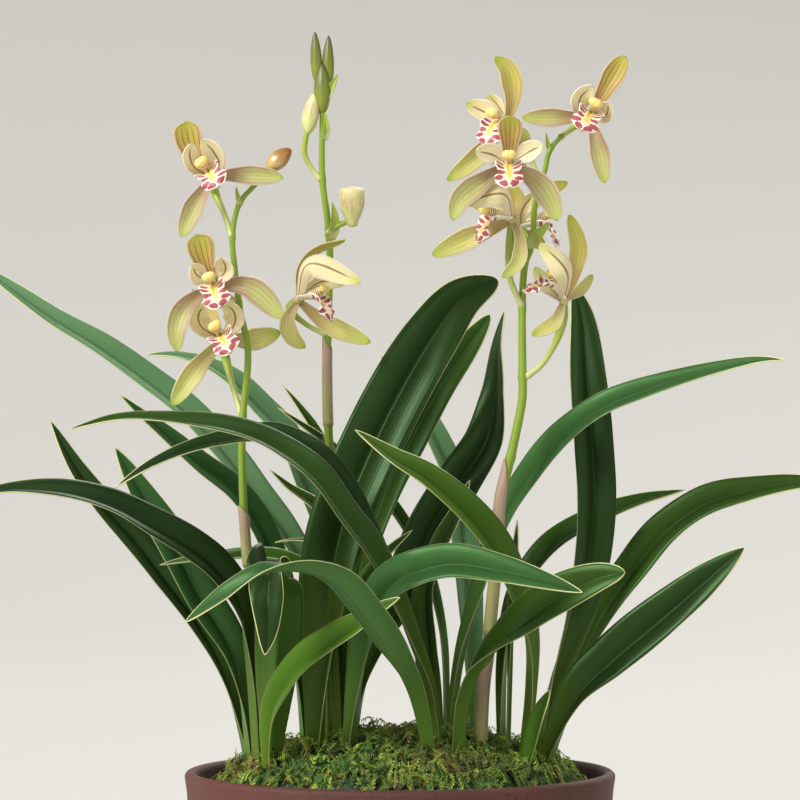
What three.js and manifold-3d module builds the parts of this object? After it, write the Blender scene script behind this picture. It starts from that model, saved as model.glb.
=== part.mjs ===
// Potted four-season orchid: a broad-leaved Cymbidium ensifolium in a red-brown clay pot.
// Millimetres, +Z up, origin at the centre of the pot's flat underside, front towards -Y.
import * as THREE from 'three';
import { mergeVertices } from 'three/addons/utils/BufferGeometryUtils.js';
import Module from 'manifold-3d';

const wasm = await Module();
wasm.setup();

// Driving dimensions of the pot and what fills it
const POT_HEIGHT = 130;
const POT_RIM_RADIUS = 86;
const POT_FOOT_RADIUS = 64;
const POT_WALL = 5;
const POT_FLOOR = 9;
const DRAIN_RADIUS = 5;
const DRAIN_CIRCLE = 32;
const DRAIN_COUNT = 3;
const POT_SIDES = 32;
const SEAT_GAP = 0.3;
const MIX_TOP = 120;
const MOSS_RADIUS = 77;
const MOSS_EDGE_TOP = 127;
const MOSS_CROWN = 145;
const MOSS_TUFT = 2.6;

// Underground stems
const BULB_CROWN = 119.7;
const BULB_DEPTH = 20;
const LEAF_FOOT = BULB_CROWN + SEAT_GAP;
const UPRIGHT = 6;
const RHIZOME_LEVEL = 107;
const RHIZOME_RADIUS = 4;

// Leaves, flowers and stems
const LEAF_THICKNESS = 0.8;
const LEAF_STEPS = 11;
const BASE_FOLD = 60;
const BLADE_FOLD = 15;
const TEPAL_THICKNESS = 0.8;
const TEPAL_STEPS = 4;
const HUB_RADIUS = 2.6;
const COLUMN_RADIUS = 1.5;
const LIP_WIDTH = 13;
const PEDICEL_RADIUS = 1.4;

// A place is chosen as seen from the front: across and up in the plane through the pot's axis,
// with its depth behind that plane. The eye stands level, SIGHT_DISTANCE in front.
const SIGHT_DISTANCE = 1600;
const SIGHT_HEIGHT = 278;
const TOWARDS_EYE = new THREE.Vector3(0, -1, 0);

// The plant opens out front and back as it rises: a depth grows by FAN between these two heights
const FAN = 0.6;
const FAN_LOW = 130;
const FAN_HIGH = 230;

const radians = THREE.MathUtils.degToRad;
const lerp = THREE.MathUtils.lerp;
const smooth = THREE.MathUtils.smoothstep;

function place(across, depth, up) {
  const scale = 1 + depth / SIGHT_DISTANCE;
  return new THREE.Vector3(across * scale, depth, SIGHT_HEIGHT + (up - SIGHT_HEIGHT) * scale);
}

function fanned(depth, up) {
  return depth * (1 + FAN * smooth(up, FAN_LOW, FAN_HIGH));
}

function seen([across, depth, up]) {
  return place(across, fanned(depth, up), up);
}

// What belongs to a flower keeps its depth from the flower's hub
function seenFrom(hub, [across, depth, up]) {
  return place(across, fanned(hub[1], hub[2]) + depth - hub[1], up);
}

// Solids: a closed mesh becomes a solid for joining and cutting, and comes back as geometry
function solid(geometry) {
  const bare = geometry.index ? geometry.clone() : mergeVertices(geometry);
  bare.deleteAttribute('normal');
  bare.deleteAttribute('uv');
  const merged = mergeVertices(bare, 1e-4);
  const vertProperties = new Float32Array(merged.attributes.position.array);
  const triVerts = new Uint32Array(merged.index.array);
  return new wasm.Manifold(new wasm.Mesh({ numProp: 3, vertProperties, triVerts }));
}

function geometryOf(body) {
  const mesh = body.getMesh();
  const geometry = new THREE.BufferGeometry();
  geometry.setAttribute('position', new THREE.BufferAttribute(mesh.vertProperties, 3));
  geometry.setIndex(new THREE.BufferAttribute(mesh.triVerts, 1));
  return geometry;
}

function union(bodies) {
  return bodies.reduce((whole, body) => whole.add(body));
}

// A blade's upper face turns from the eye by the angle given at each point of its midrib
function upperFace(tangent, turn) {
  const facing = TOWARDS_EYE.clone().addScaledVector(tangent, -TOWARDS_EYE.dot(tangent)).normalize();
  const sideways = tangent.clone().cross(facing);
  const angle = radians(turn);
  return facing.multiplyScalar(Math.cos(angle)).addScaledVector(sideways, Math.sin(angle));
}

// What stands on a bulb starts upright on its crown
function rooted(route) {
  const foot = seen(route[0]).setZ(LEAF_FOOT);
  const points = [foot, foot.clone().setZ(LEAF_FOOT + UPRIGHT), ...route.slice(1).map(seen)];
  const turns = [route[0][3], ...route.map((row) => row[3])];
  return { points, turns };
}

// A blade is a thin closed sheet folded along its midrib, with both faces split alike
function blade({ points, turns, halfWidth, fold, thickness, steps, across = 2 }) {
  const curve = new THREE.CatmullRomCurve3(points, false, 'centripetal');
  const last = points.length - 1;
  const faces = turns.map((turn, i) => upperFace(curve.getTangent(i / last), turn));
  const columns = across + 1;
  const position = [];
  for (const side of [1, -1]) {
    for (let i = 0; i <= steps; i += 1) {
      const along = i / steps;
      const t = curve.getUtoTmapping(along);
      const tangent = curve.getTangent(t);
      const k = Math.min(Math.floor(t * last), last - 1);
      const normal = faces[k].clone().lerp(faces[k + 1], t * last - k);
      normal.addScaledVector(tangent, -normal.dot(tangent)).normalize();
      const spread = tangent.clone().cross(normal);
      const angle = radians(fold(along));
      const reach = halfWidth(along);
      for (let j = 0; j <= across; j += 1) {
        const a = (2 * j) / across - 1;
        const rise = reach * Math.sin(angle) * (Math.abs(a) - 0.5) + (side * thickness) / 2 / Math.cos(angle);
        const point = curve.getPoint(t);
        point.addScaledVector(spread, reach * Math.cos(angle) * a).addScaledVector(normal, rise);
        position.push(point.x, point.y, point.z);
      }
    }
  }
  const geometry = new THREE.BufferGeometry();
  geometry.setAttribute('position', new THREE.Float32BufferAttribute(position, 3));
  geometry.setIndex(sheetIndex(steps, columns));
  return geometry;
}

function sheetIndex(steps, columns) {
  const upper = (i, j) => i * columns + j;
  const lower = (i, j) => (steps + 1 + i) * columns + j;
  const index = [];
  for (let i = 0; i < steps; i += 1) {
    for (let j = 0; j < columns - 1; j += 1) {
      index.push(upper(i, j), upper(i, j + 1), upper(i + 1, j));
      index.push(upper(i, j + 1), upper(i + 1, j + 1), upper(i + 1, j));
      index.push(lower(i, j), lower(i + 1, j), lower(i, j + 1));
      index.push(lower(i, j + 1), lower(i + 1, j), lower(i + 1, j + 1));
    }
    const edge = columns - 1;
    index.push(upper(i, 0), upper(i + 1, 0), lower(i, 0));
    index.push(upper(i + 1, 0), lower(i + 1, 0), lower(i, 0));
    index.push(upper(i, edge), lower(i, edge), upper(i + 1, edge));
    index.push(upper(i + 1, edge), lower(i, edge), lower(i + 1, edge));
  }
  for (let j = 0; j < columns - 1; j += 1) {
    index.push(upper(0, j), lower(0, j), upper(0, j + 1));
    index.push(upper(0, j + 1), lower(0, j), lower(0, j + 1));
    index.push(upper(steps, j), upper(steps, j + 1), lower(steps, j));
    index.push(upper(steps, j + 1), lower(steps, j + 1), lower(steps, j));
  }
  return index;
}

// A round stem is a cylinder bent along its route, its radius following a rule
function stem(points, radiusAt, sides, steps) {
  const curve = new THREE.CatmullRomCurve3(points, false, 'centripetal');
  const frames = curve.computeFrenetFrames(steps);
  const geometry = new THREE.CylinderGeometry(1, 1, 1, sides, steps);
  const position = geometry.attributes.position;
  for (let i = 0; i < position.count; i += 1) {
    const along = position.getY(i) + 0.5;
    const k = Math.round(along * steps);
    const radius = radiusAt(along);
    const point = curve.getPointAt(k / steps);
    point.addScaledVector(frames.normals[k], position.getX(i) * radius);
    point.addScaledVector(frames.binormals[k], -position.getZ(i) * radius);
    position.setXYZ(i, point.x, point.y, point.z);
  }
  return geometry;
}

// A bud or a bulb is a turned drop shape laid along a line
function drop(from, to, radius, sides = 6) {
  const along = new THREE.Vector3().subVectors(to, from);
  const length = along.length();
  const outline = [
    [0, 0], [0.55, 0.06], [0.92, 0.28], [1, 0.5], [0.78, 0.78], [0.34, 0.96], [0, 1],
  ].map(([r, s]) => new THREE.Vector2(r * radius, s * length));
  const geometry = new THREE.LatheGeometry(outline, sides);
  const turn = new THREE.Quaternion().setFromUnitVectors(new THREE.Vector3(0, 1, 0), along.normalize());
  return geometry.applyQuaternion(turn).translate(from.x, from.y, from.z);
}

// Lathed shapes stand on +Z
function turned(outline, sides) {
  const points = outline.map(([radius, height]) => new THREE.Vector2(radius, height));
  return new THREE.LatheGeometry(points, sides).rotateX(Math.PI / 2);
}

const group = new THREE.Group();

function add(name, geometry, colour, roughness = 0.5) {
  const material = new THREE.MeshStandardMaterial({ color: colour, roughness, metalness: 0 });
  const mesh = new THREE.Mesh(geometry, material);
  mesh.name = name;
  group.add(mesh);
}

// Pot: plain tapered clay pot with a thin rounded rim and drain holes in its floor
function pot() {
  const rim = POT_RIM_RADIUS;
  const top = POT_HEIGHT;
  const inside = rim - POT_WALL;
  const outline = [
    [0, 0], [POT_FOOT_RADIUS - 2, 0], [POT_FOOT_RADIUS, 2], [rim - 6, top * 0.55], [rim - 1.5, top - 22],
    [rim, top - 3], [rim - 1.2, top - 0.6], [rim - 2.6, top], [inside + 0.6, top - 1.4], [inside, top - 5],
    [inside - 1.5, top - 24], [inside - 6, top * 0.55], [POT_FOOT_RADIUS - POT_WALL, POT_FLOOR + 4],
    [POT_FOOT_RADIUS - POT_WALL - 4, POT_FLOOR], [0, POT_FLOOR],
  ];
  let body = solid(turned(outline, POT_SIDES));
  for (let i = 0; i < DRAIN_COUNT; i += 1) {
    const angle = (2 * Math.PI * (i + 0.5)) / DRAIN_COUNT;
    const hole = new THREE.CylinderGeometry(DRAIN_RADIUS, DRAIN_RADIUS, POT_FLOOR * 3, 16);
    hole.rotateX(Math.PI / 2).translate(DRAIN_CIRCLE * Math.cos(angle), DRAIN_CIRCLE * Math.sin(angle), 0);
    body = body.subtract(solid(hole));
  }
  return geometryOf(body);
}

// Each shoot stands on its own pseudobulbs, given by centre and radius, all joined by the rhizome
const SHOOT_BULBS = {
  A: [[-54, -31, 9], [-57, -8, 12]],
  B: [[-28, 32, 13], [-29, 8, 14], [-26, -18, 13]],
  C: [[15, -32, 12], [20, -10, 13], [22, 18, 15]],
  D: [[51, 0, 13], [51, -24, 12]],
};

function bulb(x, y, radius, growth) {
  const low = BULB_CROWN - BULB_DEPTH - growth;
  const top = BULB_CROWN + 4 * growth;
  const wide = radius + growth;
  const outline = [[0, low], [wide * 0.8, low + 3], [wide, top - 3], [wide * 0.94, top], [0, top]];
  return solid(turned(outline, 6).translate(x, y, 0));
}

function rhizome(growth = 0) {
  const bulbs = Object.values(SHOOT_BULBS).flat();
  const points = bulbs.map(([x, y]) => new THREE.Vector3(x, y, RHIZOME_LEVEL));
  const parts = bulbs.map(([x, y, radius]) => bulb(x, y, radius, growth));
  for (let i = 1; i < points.length; i += 1) {
    parts.push(solid(stem([points[i - 1], points[i]], () => RHIZOME_RADIUS + growth, 6, 1)));
  }
  return union(parts);
}

function pottingMix() {
  const inside = POT_RIM_RADIUS - POT_WALL - SEAT_GAP - 0.2;
  const foot = POT_FOOT_RADIUS - POT_WALL - SEAT_GAP - 0.2;
  const outline = [
    [0, POT_FLOOR + SEAT_GAP], [foot - 4.6, POT_FLOOR + SEAT_GAP], [foot - 0.6, POT_FLOOR + 4.6],
    [inside - 6.6, POT_HEIGHT * 0.55], [inside - 1.9, POT_HEIGHT - 24], [inside - 1, MIX_TOP], [0, MIX_TOP],
  ];
  return geometryOf(solid(turned(outline, POT_SIDES)).subtract(rhizome(SEAT_GAP)));
}

// Moss: a mound with a tufted surface, open in a plain hole where each shoot stands
const SHOOT_HOLES = {
  A: [-56, -17, 12, 27],
  B: [-28, 9, 17, 44],
  C: [18, -6, 22, 50],
  D: [51, -9, 17, 31],
};

function moss() {
  const low = MIX_TOP + SEAT_GAP;
  const rise = MOSS_CROWN - MOSS_EDGE_TOP;
  const outline = [[0, low], [MOSS_RADIUS - 3, low], [MOSS_RADIUS, low + 3]];
  for (let i = 1; i <= 7; i += 1) {
    const r = 1 - i / 7;
    outline.push([MOSS_RADIUS * r, MOSS_EDGE_TOP + rise * (1 - r ** 2.4)]);
  }
  const geometry = turned(outline, 32);
  const position = geometry.attributes.position;
  for (let i = 0; i < position.count; i += 1) {
    const [x, y, z] = [position.getX(i), position.getY(i), position.getZ(i)];
    const lift = smooth(z, MOSS_EDGE_TOP, MOSS_EDGE_TOP + 6);
    const tuft = Math.sin(x * 0.31 + 1.3 * Math.sin(y * 0.17)) * Math.cos(y * 0.29 + Math.sin(x * 0.13));
    position.setZ(i, z + MOSS_TUFT * tuft * lift);
  }
  let body = solid(geometry);
  for (const [x, y, rx, ry] of Object.values(SHOOT_HOLES)) {
    const hole = new THREE.CylinderGeometry(1, 1, 60, 20).rotateX(Math.PI / 2).scale(rx, ry, 1);
    body = body.subtract(solid(hole.translate(x, y, MIX_TOP + 10)));
  }
  return geometryOf(body);
}

// Leaves, shoot by shoot from left to right. A row of a route is across, depth and up, then the turn
// of the upper face from the eye in degrees. The first row stands on the bulb's crown.
const LEAVES = {
  a1: { width: 16, route: [[-60, -8, LEAF_FOOT, 75], [-62, -8, 156, 60], [-67, -8, 178, 45],
    [-80, -9, 200, 30], [-90, -10, 219, 22], [-104, -12, 242, 20], [-114, -14, 259, 20]] },
  a2: { width: 15, route: [[-57, -18, LEAF_FOOT, 80], [-59, -19, 162, 80], [-61, -20, 182, 70],
    [-63, -22, 196, 50], [-72, -27, 210, 40], [-84, -32, 220, 35], [-100, -37, 229, 45],
    [-116, -42, 237, 50], [-136, -47, 242, 55], [-160, -52, 242, 60], [-176, -56, 237, 60]] },
  a3: { width: 12, route: [[-60, 2, LEAF_FOOT, 70], [-69, 2, 166, 50], [-80, 2, 188, 40],
    [-94, 2, 207, 30], [-104, 3, 220, 25], [-120, 4, 238, 25], [-130, 5, 252, 25], [-140, 6, 270, 30]] },
  a4: { width: 13, route: [[-52, -33, LEAF_FOOT, -60], [-52, -38, 152, -55], [-46, -42, 165, -45],
    [-38, -44, 175, -40], [-28, -46, 182, -40], [-18, -48, 188, -40], [-9, -50, 194, -45],
    [0, -52, 199, -45]] },
  a5: { width: 20, route: [[-52, -27, LEAF_FOOT, 180], [-50, -29, 162, 180], [-49, -29, 182, 175],
    [-49, -31, 200, 165], [-52, -39, 212, 110], [-53, -49, 209, 40], [-53, -55, 198, 5],
    [-53, -59, 187, 0], [-54, -61, 176, 0]] },
  b1: { width: 14, route: [[-34, 22, LEAF_FOOT, 70], [-35, 22, 174, 60], [-38, 22, 210, 50],
    [-46, 22, 226, 40], [-58, 22, 242, 38], [-70, 23, 258, 38], [-84, 24, 273, 38], [-100, 26, 286, 38],
    [-120, 28, 300, 38], [-140, 30, 312, 38], [-160, 32, 326, 38], [-174, 34, 335, 38]] },
  b2: { width: 12, route: [[-38, 12, LEAF_FOOT, 70], [-40, 12, 162, 60], [-44, 12, 190, 50],
    [-50, 10, 214, 40], [-57, 8, 230, 35], [-66, 5, 242, 35], [-80, 0, 253, 35], [-94, -4, 265, 35],
    [-104, -7, 273, 40], [-112, -9, 280, 40]] },
  b3: { width: 10, route: [[-30, -6, LEAF_FOOT, 80], [-30, -6, 174, 75], [-33, -5, 198, 70],
    [-38, -4, 210, 65], [-48, -4, 215, 62], [-61, -7, 216, 62], [-72, -13, 215, 62],
    [-85, -20, 214, 62], [-96, -25, 212, 62]] },
  b4: { width: 6, route: [[-33, 5, LEAF_FOOT, 80], [-32, 5, 174, 80], [-30, 5, 202, 78],
    [-31, 4, 216, 75], [-35, 3, 221, 70], [-42, 2, 222, 68], [-50, 0, 221, 68]] },
  b5: { width: 9, route: [[-26, 31, LEAF_FOOT, 70], [-25, 31, 174, 70], [-24, 31, 202, 60],
    [-26, 31, 220, 50], [-29, 30, 231, 42], [-35, 29, 237, 40], [-44, 29, 243, 40], [-52, 29, 250, 40]] },
  b6: { width: 8, route: [[-24, 22, LEAF_FOOT, 70], [-23, 22, 174, 70], [-23, 22, 214, 55],
    [-25, 22, 238, 45], [-28, 22, 252, 40], [-34, 22, 266, 38], [-40, 22, 275, 38], [-47, 22, 284, 38]] },
  b7: { width: 14, route: [[-26, 41, LEAF_FOOT, 70], [-27, 42, 174, 65], [-28, 42, 198, 60],
    [-32, 42, 230, 45], [-38, 42, 246, 40], [-46, 42, 265, 38], [-56, 42, 276, 38], [-66, 42, 286, 40],
    [-78, 42, 293, 50], [-90, 42, 296, 60], [-102, 42, 296, 60]] },
  b8: { width: 26, route: [[-33, -16, LEAF_FOOT, -60], [-31, -16, 182, -40], [-28, -15, 210, -22],
    [-22, -13, 234, -12], [-12, -10, 258, -8], [0, -6, 282, -8], [12, -2, 302, -8], [24, 3, 318, -8],
    [39, 8, 326, -10]] },
  b9: { width: 16, route: [[-24, 5, LEAF_FOOT, -60], [-22, 5, 182, -45], [-16, 6, 214, -30],
    [-6, 8, 242, -20], [4, 11, 262, -15], [16, 15, 284, -15], [26, 19, 298, -15], [36, 22, 312, -15]] },
  b10: { width: 20, route: [[-20, 14, LEAF_FOOT, -60], [-16, 14, 162, -50], [-9, 14, 182, -40],
    [2, 16, 202, -20], [12, 19, 226, -10], [24, 23, 246, -10], [34, 26, 262, -20], [38, 28, 282, -52],
    [39, 29, 300, -62], [42, 30, 314, -62]] },
  b11: { width: 8, route: [[-21, -6, LEAF_FOOT, -70], [-22, -6, 174, -60], [-21, -6, 193, -50],
    [-15, -5, 205, -45], [-5, -4, 217, -40], [5, -4, 226, -40]] },
  b12: { width: 17, route: [[-21, -21, LEAF_FOOT, -70], [-17, -26, 166, -60], [-12, -33, 190, -50],
    [-6, -41, 202, -40], [4, -49, 209, -32], [20, -52, 213, -30], [40, -57, 210, -30],
    [60, -62, 205, -30], [73, -64, 201, -30]] },
  c1: { width: 16, route: [[13, -34, LEAF_FOOT, 110], [6, -45, 158, 125], [-4, -56, 178, 140],
    [-14, -63, 193, 140], [-26, -70, 206, 130], [-40, -76, 211, 105], [-54, -80, 210, 75],
    [-70, -82, 201, 50], [-86, -82, 189, 45]] },
  c2: { width: 14, route: [[16, -22, LEAF_FOOT, 80], [12, -22, 162, 75], [5, -23, 182, 65],
    [-3, -26, 202, 55], [-11, -32, 218, 50], [-22, -38, 233, 48], [-33, -42, 248, 48],
    [-48, -44, 259, 50], [-64, -48, 266, 55], [-88, -53, 270, 62], [-112, -56, 271, 65],
    [-133, -58, 266, 65]] },
  c3: { width: 12, route: [[14, -12, LEAF_FOOT, 75], [12, -12, 162, 70], [5, -13, 182, 60],
    [-3, -15, 202, 50], [-11, -21, 220, 45], [-24, -28, 246, 40], [-36, -32, 258, 40],
    [-50, -33, 264, 45], [-66, -37, 263, 50], [-84, -40, 259, 50], [-100, -42, 252, 50],
    [-114, -44, 243, 50]] },
  c4: { width: 18, route: [[23, -33, LEAF_FOOT, -100], [26, -34, 158, -100], [31, -36, 172, -90],
    [40, -40, 182, -70], [52, -44, 192, -40], [66, -48, 201, -28], [80, -51, 207, -28],
    [90, -53, 209, -30]] },
  c5: { width: 13, route: [[19, -3, LEAF_FOOT, -80], [24, -3, 174, -75], [32, -3, 202, -60],
    [41, -3, 230, -50], [52, -5, 248, -42], [64, -8, 263, -40], [80, -13, 275, -40],
    [100, -16, 283, -42], [124, -19, 290, -45], [144, -22, 294, -48], [154, -24, 294, -50]] },
  c6: { width: 7, route: [[18, 18, LEAF_FOOT, 70], [17, 20, 182, 60], [9, 28, 214, 45],
    [-2, 30, 234, 40], [-20, 22, 253, 38], [-32, 13, 263, 38], [-42, 10, 270, 38], [-49, 8, 275, 38]] },
  c7: { width: 11, route: [[16, 7, LEAF_FOOT, 60], [11, 5, 178, -30], [10, 4, 202, -40],
    [16, 6, 220, -35], [23, 8, 234, -30], [28, 9, 246, -30]] },
  c8: { width: 14, route: [[28, 28, LEAF_FOOT, 60], [28, 34, 180, 40], [26, 40, 214, 30],
    [23, 44, 242, 30], [16, 46, 260, 30], [6, 48, 278, 30], [-8, 50, 296, 30]] },
  d1: { width: 15, route: [[48, -24, LEAF_FOOT, 80], [52, -25, 162, 78], [52, -26, 182, 70],
    [48, -28, 198, 55], [40, -30, 217, 40], [28, -32, 233, 35], [12, -34, 247, 35], [-2, -36, 255, 40],
    [-18, -38, 266, 45]] },
  d2: { width: 17, route: [[54, -3, LEAF_FOOT, 70], [62, -3, 166, 55], [70, -2, 190, 40],
    [76, -1, 214, 25], [78, -1, 238, 15], [77, 0, 262, 10], [75, 2, 286, 10], [73, 5, 310, 10],
    [70, 7, 323, 10]] },
  d3: { width: 16, route: [[57, 7, LEAF_FOOT, -70], [68, 8, 166, -50], [80, 8, 192, -40],
    [93, 7, 210, -35], [106, 6, 226, -33], [122, 4, 237, -33], [140, 2, 242, -35], [160, 0, 245, -40],
    [175, -2, 244, -45]] },
  d4: { width: 20, route: [[57, -14, LEAF_FOOT, -70], [70, -14, 160, -50], [84, -14, 174, -35],
    [102, -15, 189, -28], [120, -16, 204, -26], [138, -17, 219, -28]] },
  d5: { width: 12, route: [[41, 4, LEAF_FOOT, -80], [42, 6, 178, -70], [48, 7, 202, -55],
    [60, 10, 220, -42], [78, 15, 231, -40], [96, 17, 238, -45], [114, 18, 242, -45]] },
  d6: { width: 6, route: [[43, -9, LEAF_FOOT, -90], [44, -9, 166, -88], [45, -9, 198, -60],
    [46, -10, 214, -40], [47, -10, 230, -30]] },
  sheath: { width: 9, route: [[49, -33, LEAF_FOOT, -60], [55, -33, 150, -50], [60, -33, 162, -45]] },
};

// A leaf widens from its folded foot to past its middle, then narrows to a short point
function leafHalfWidth(width) {
  return (along) => {
    const foot = lerp(0.52, 1, smooth(along, 0, 0.5));
    const tip = Math.sqrt(Math.max(0, 1 - Math.max(0, (along - 0.62) / 0.38) ** 2.6));
    return Math.max(0.7, (width / 2) * foot * tip);
  };
}

function leaf({ width, route }) {
  return blade({
    ...rooted(route),
    halfWidth: leafHalfWidth(width),
    fold: (along) => lerp(BASE_FOLD, BLADE_FOLD, smooth(along, 0, 0.42)),
    thickness: LEAF_THICKNESS,
    steps: LEAF_STEPS,
  });
}

// Flowers: the hub sits on the ovary, the face looks along facing, up is the dorsal side.
// A tepal is its width, its route from the hub, the rows as for leaves, and its tip's shape.
const BLUNT = 'blunt';
const POINTED = 'pointed';
const FLOWERS = {
  left_top: {
    hub: [-75, -19, 367.5], facing: [-0.08, -0.96, 0.08], up: [-0.6, 0, 0.8],
    tepals: [
      [11, [[-83.5, -21, 379, 0], [-86, -23, 389, 0]], BLUNT],
      [8, [[-62, -22, 368, 0], [-47, -23, 367, 0]]],
      [8.5, [[-82, -22, 356, 0], [-87.5, -24, 343.5, 0]]],
      [7, [[-81.5, -23, 370.5, 50], [-84, -27, 375.5, 50], [-83.5, -31, 380.5, 40]]],
      [8, [[-72.5, -23, 372, -45], [-75, -27, 377.5, -45], [-79, -30, 382, -35]]],
    ],
  },
  left_middle: {
    hub: [-74.2, -22, 324], facing: [0, -0.98, -0.15], up: [-0.35, 0, 0.93],
    tepals: [
      [11, [[-78, -25, 333, 0], [-81, -28, 344, 0]], BLUNT],
      [10, [[-60, -26, 323, 0], [-47, -27, 311, 0]]],
      [9, [[-86, -26, 315, 0], [-89.5, -28, 306, 0], [-89, -28, 297.5, 0]]],
      [7.5, [[-81, -26, 328, 40], [-83, -31, 332, 35]]],
      [8, [[-70, -26, 330, -40], [-71.5, -31, 335, -35]]],
    ],
  },
  left_low: {
    hub: [-71, -17, 302.5], facing: [0, -0.97, 0.05], up: [-0.5, 0, 0.86],
    tepals: [
      [8, [[-77, -13, 313, 0], [-83, -12, 322, 0]]],
      [9, [[-60, -10, 302, 0], [-48, -9, 305, 0]]],
      [8.5, [[-82.5, -21, 289, 0], [-91, -23, 276, 0]]],
      [8, [[-79, -21, 307, 45], [-80.5, -25, 312, 45], [-77, -28, 317, 35]]],
      [8, [[-66.5, -21, 308, -45], [-66.5, -25, 313, -45], [-70.5, -28, 317, -35]]],
    ],
  },
  middle: {
    hub: [-41, -10, 318], facing: [0.88, -0.45, -0.05], up: [0.1, 0, 1],
    tepals: [
      [6, [[-40, -10, 330, 40], [-34, -11, 338, 60], [-22, -11, 342, 60]]],
      [7, [[-45, -13, 309, 0], [-43, -14, 303, 0], [-38, -14, 299, 0]]],
      [8, [[-30, -8, 309, 0], [-12, -12, 301, 0]]],
      [9, [[-36, -21, 332, 150], [-16, -24, 325, 150]]],
      [6, [[-32, -7, 325, 30], [-22, -8, 325, 30]]],
    ],
  },
  right_a: {
    hub: [43, -8, 389], facing: [-0.55, -0.8, -0.15], up: [0.15, 0, 1],
    tepals: [
      [9, [[45, -10, 400, 10], [43, -11, 410, 10], [38, -12, 415, 10]]],
      [8, [[29.5, -12, 374, 0], [19, -13, 366, 0]]],
      [5, [[48.5, -9, 385, 0], [51.5, -8, 380, 0]]],
      [8, [[34.5, -8, 393, 20], [26.8, -9, 396.5, 20]]],
      [5, [[39, -6, 396, -30], [35, -6, 400, -30]]],
    ],
  },
  right_b: {
    hub: [76, -16, 391.5], facing: [-0.05, -0.97, 0], up: [0.45, 0, 0.89],
    tepals: [
      [9, [[84, -19, 405.5, 0], [90, -20, 415.5, 0]], BLUNT],
      [7.5, [[64, -18, 391, 0], [49, -18, 391, 0]]],
      [8, [[79.5, -20, 378, 0], [82, -21, 365, 0]]],
      [8, [[72, -20, 393.5, 45], [72.5, -24, 399, 45], [77, -27, 403.5, 35]]],
      [7, [[82, -20, 392, -45], [83.5, -26, 397, -40]]],
    ],
  },
  right_c: {
    hub: [43.3, -25, 371.8], facing: [0, -0.97, -0.12], up: [0, 0, 1],
    tepals: [
      [9.5, [[44, -29, 382, 0], [44, -34, 391.5, 0]], BLUNT],
      [9.5, [[34, -31, 366, 0], [24, -35, 358, 0], [21, -37, 350, 0]]],
      [10, [[54, -29, 366, 0], [60, -30, 358, 0], [63, -31, 350, 0]]],
      [7.5, [[37.5, -29, 376, 20], [30.5, -33, 377.5, 10]]],
      [7.5, [[51, -29, 377, -20], [57, -33, 380, -10]]],
    ],
  },
  right_d: {
    hub: [45, -21, 350], facing: [-0.9, -0.4, -0.1], up: [0.2, 0, 1],
    tepals: [
      [8, [[46, -19, 357, 0], [45, -19, 364, 0]]],
      [9, [[28, -17, 343, 0], [13, -18, 336, 0]]],
      [6, [[48, -23, 342, 0], [47, -25, 333, 0], [41, -25, 327, 0]]],
      [8.5, [[41, -32, 360, 205], [26, -34, 357, 205]]],
      [6, [[37, -16, 356, -30], [30, -16, 355, -30]]],
    ],
  },
  right_e: {
    hub: [48, -5, 346.5], facing: [0.9, -0.2, 0.05], up: [0, 0, 1],
    tepals: [
      [6.5, [[52.5, -3, 356, 0], [60, -4, 362, 0], [67, -4, 365, 0]]],
      [6, [[46, -2, 340, 180], [45, 0, 334, 180]]],
      [6, [[54, -2, 342, 180], [58, 0, 339, 180]]],
      [6, [[47, -3, 353, 180], [52, 0, 359, 180]]],
      [6, [[49, -11, 354, 20], [54, -14, 361, 20]]],
    ],
  },
  right_f: {
    hub: [65.5, -15, 317.5], facing: [-0.71, -0.36, 0.61], up: [0.6, 0, 0.77],
    tepals: [
      [7.5, [[69, -16, 327, 10], [71.2, -17, 339, 10], [67.8, -18, 352, 10]]],
      [6.5, [[62, -19, 309, 20], [53, -21, 304, 20]]],
      [5, [[73, -9, 323, 20], [77, -7, 328, 20]]],
      [9, [[66, -26.5, 329.5, 210], [56, -28, 340.5, 210]]],
      [6, [[58, -8, 325, -30], [54, -6, 331, -30]]],
    ],
  },
};

// Where a tepal's tip begins to narrow, how full it stays, and how fast its foot widens
const TIPS = {
  [BLUNT]: { shoulder: 0.86, roundness: 3, flare: 0.75 },
  [POINTED]: { shoulder: 0.5, roundness: 1.9, flare: 1.3 },
};
const TEPAL_FOOT = 0.32;
const LEAST_HALF_WIDTH = 0.6;

function tepalHalfWidth(width, tip) {
  const { shoulder, roundness, flare } = TIPS[tip];
  return (along) => {
    const foot = Math.min(1, TEPAL_FOOT + flare * along);
    const past = Math.max(0, (along - shoulder) / (1 - shoulder));
    const rounded = Math.sqrt(Math.max(0, 1 - past ** roundness));
    return Math.max(LEAST_HALF_WIDTH, (width / 2) * foot * rounded);
  };
}

function tepal(hub, width, route, tip = POINTED) {
  const rest = route.map((row) => seenFrom(hub, row));
  const centre = seen(hub);
  const outward = rest[0].clone().sub(centre).setLength(HUB_RADIUS * 0.6);
  return solid(blade({
    points: [centre.add(outward), ...rest],
    turns: [route[0][3], ...route.map((row) => row[3])],
    halfWidth: tepalHalfWidth(width, tip),
    fold: (along) => lerp(24, 9, along),
    thickness: TEPAL_THICKNESS,
    steps: TEPAL_STEPS,
  }));
}

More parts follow.
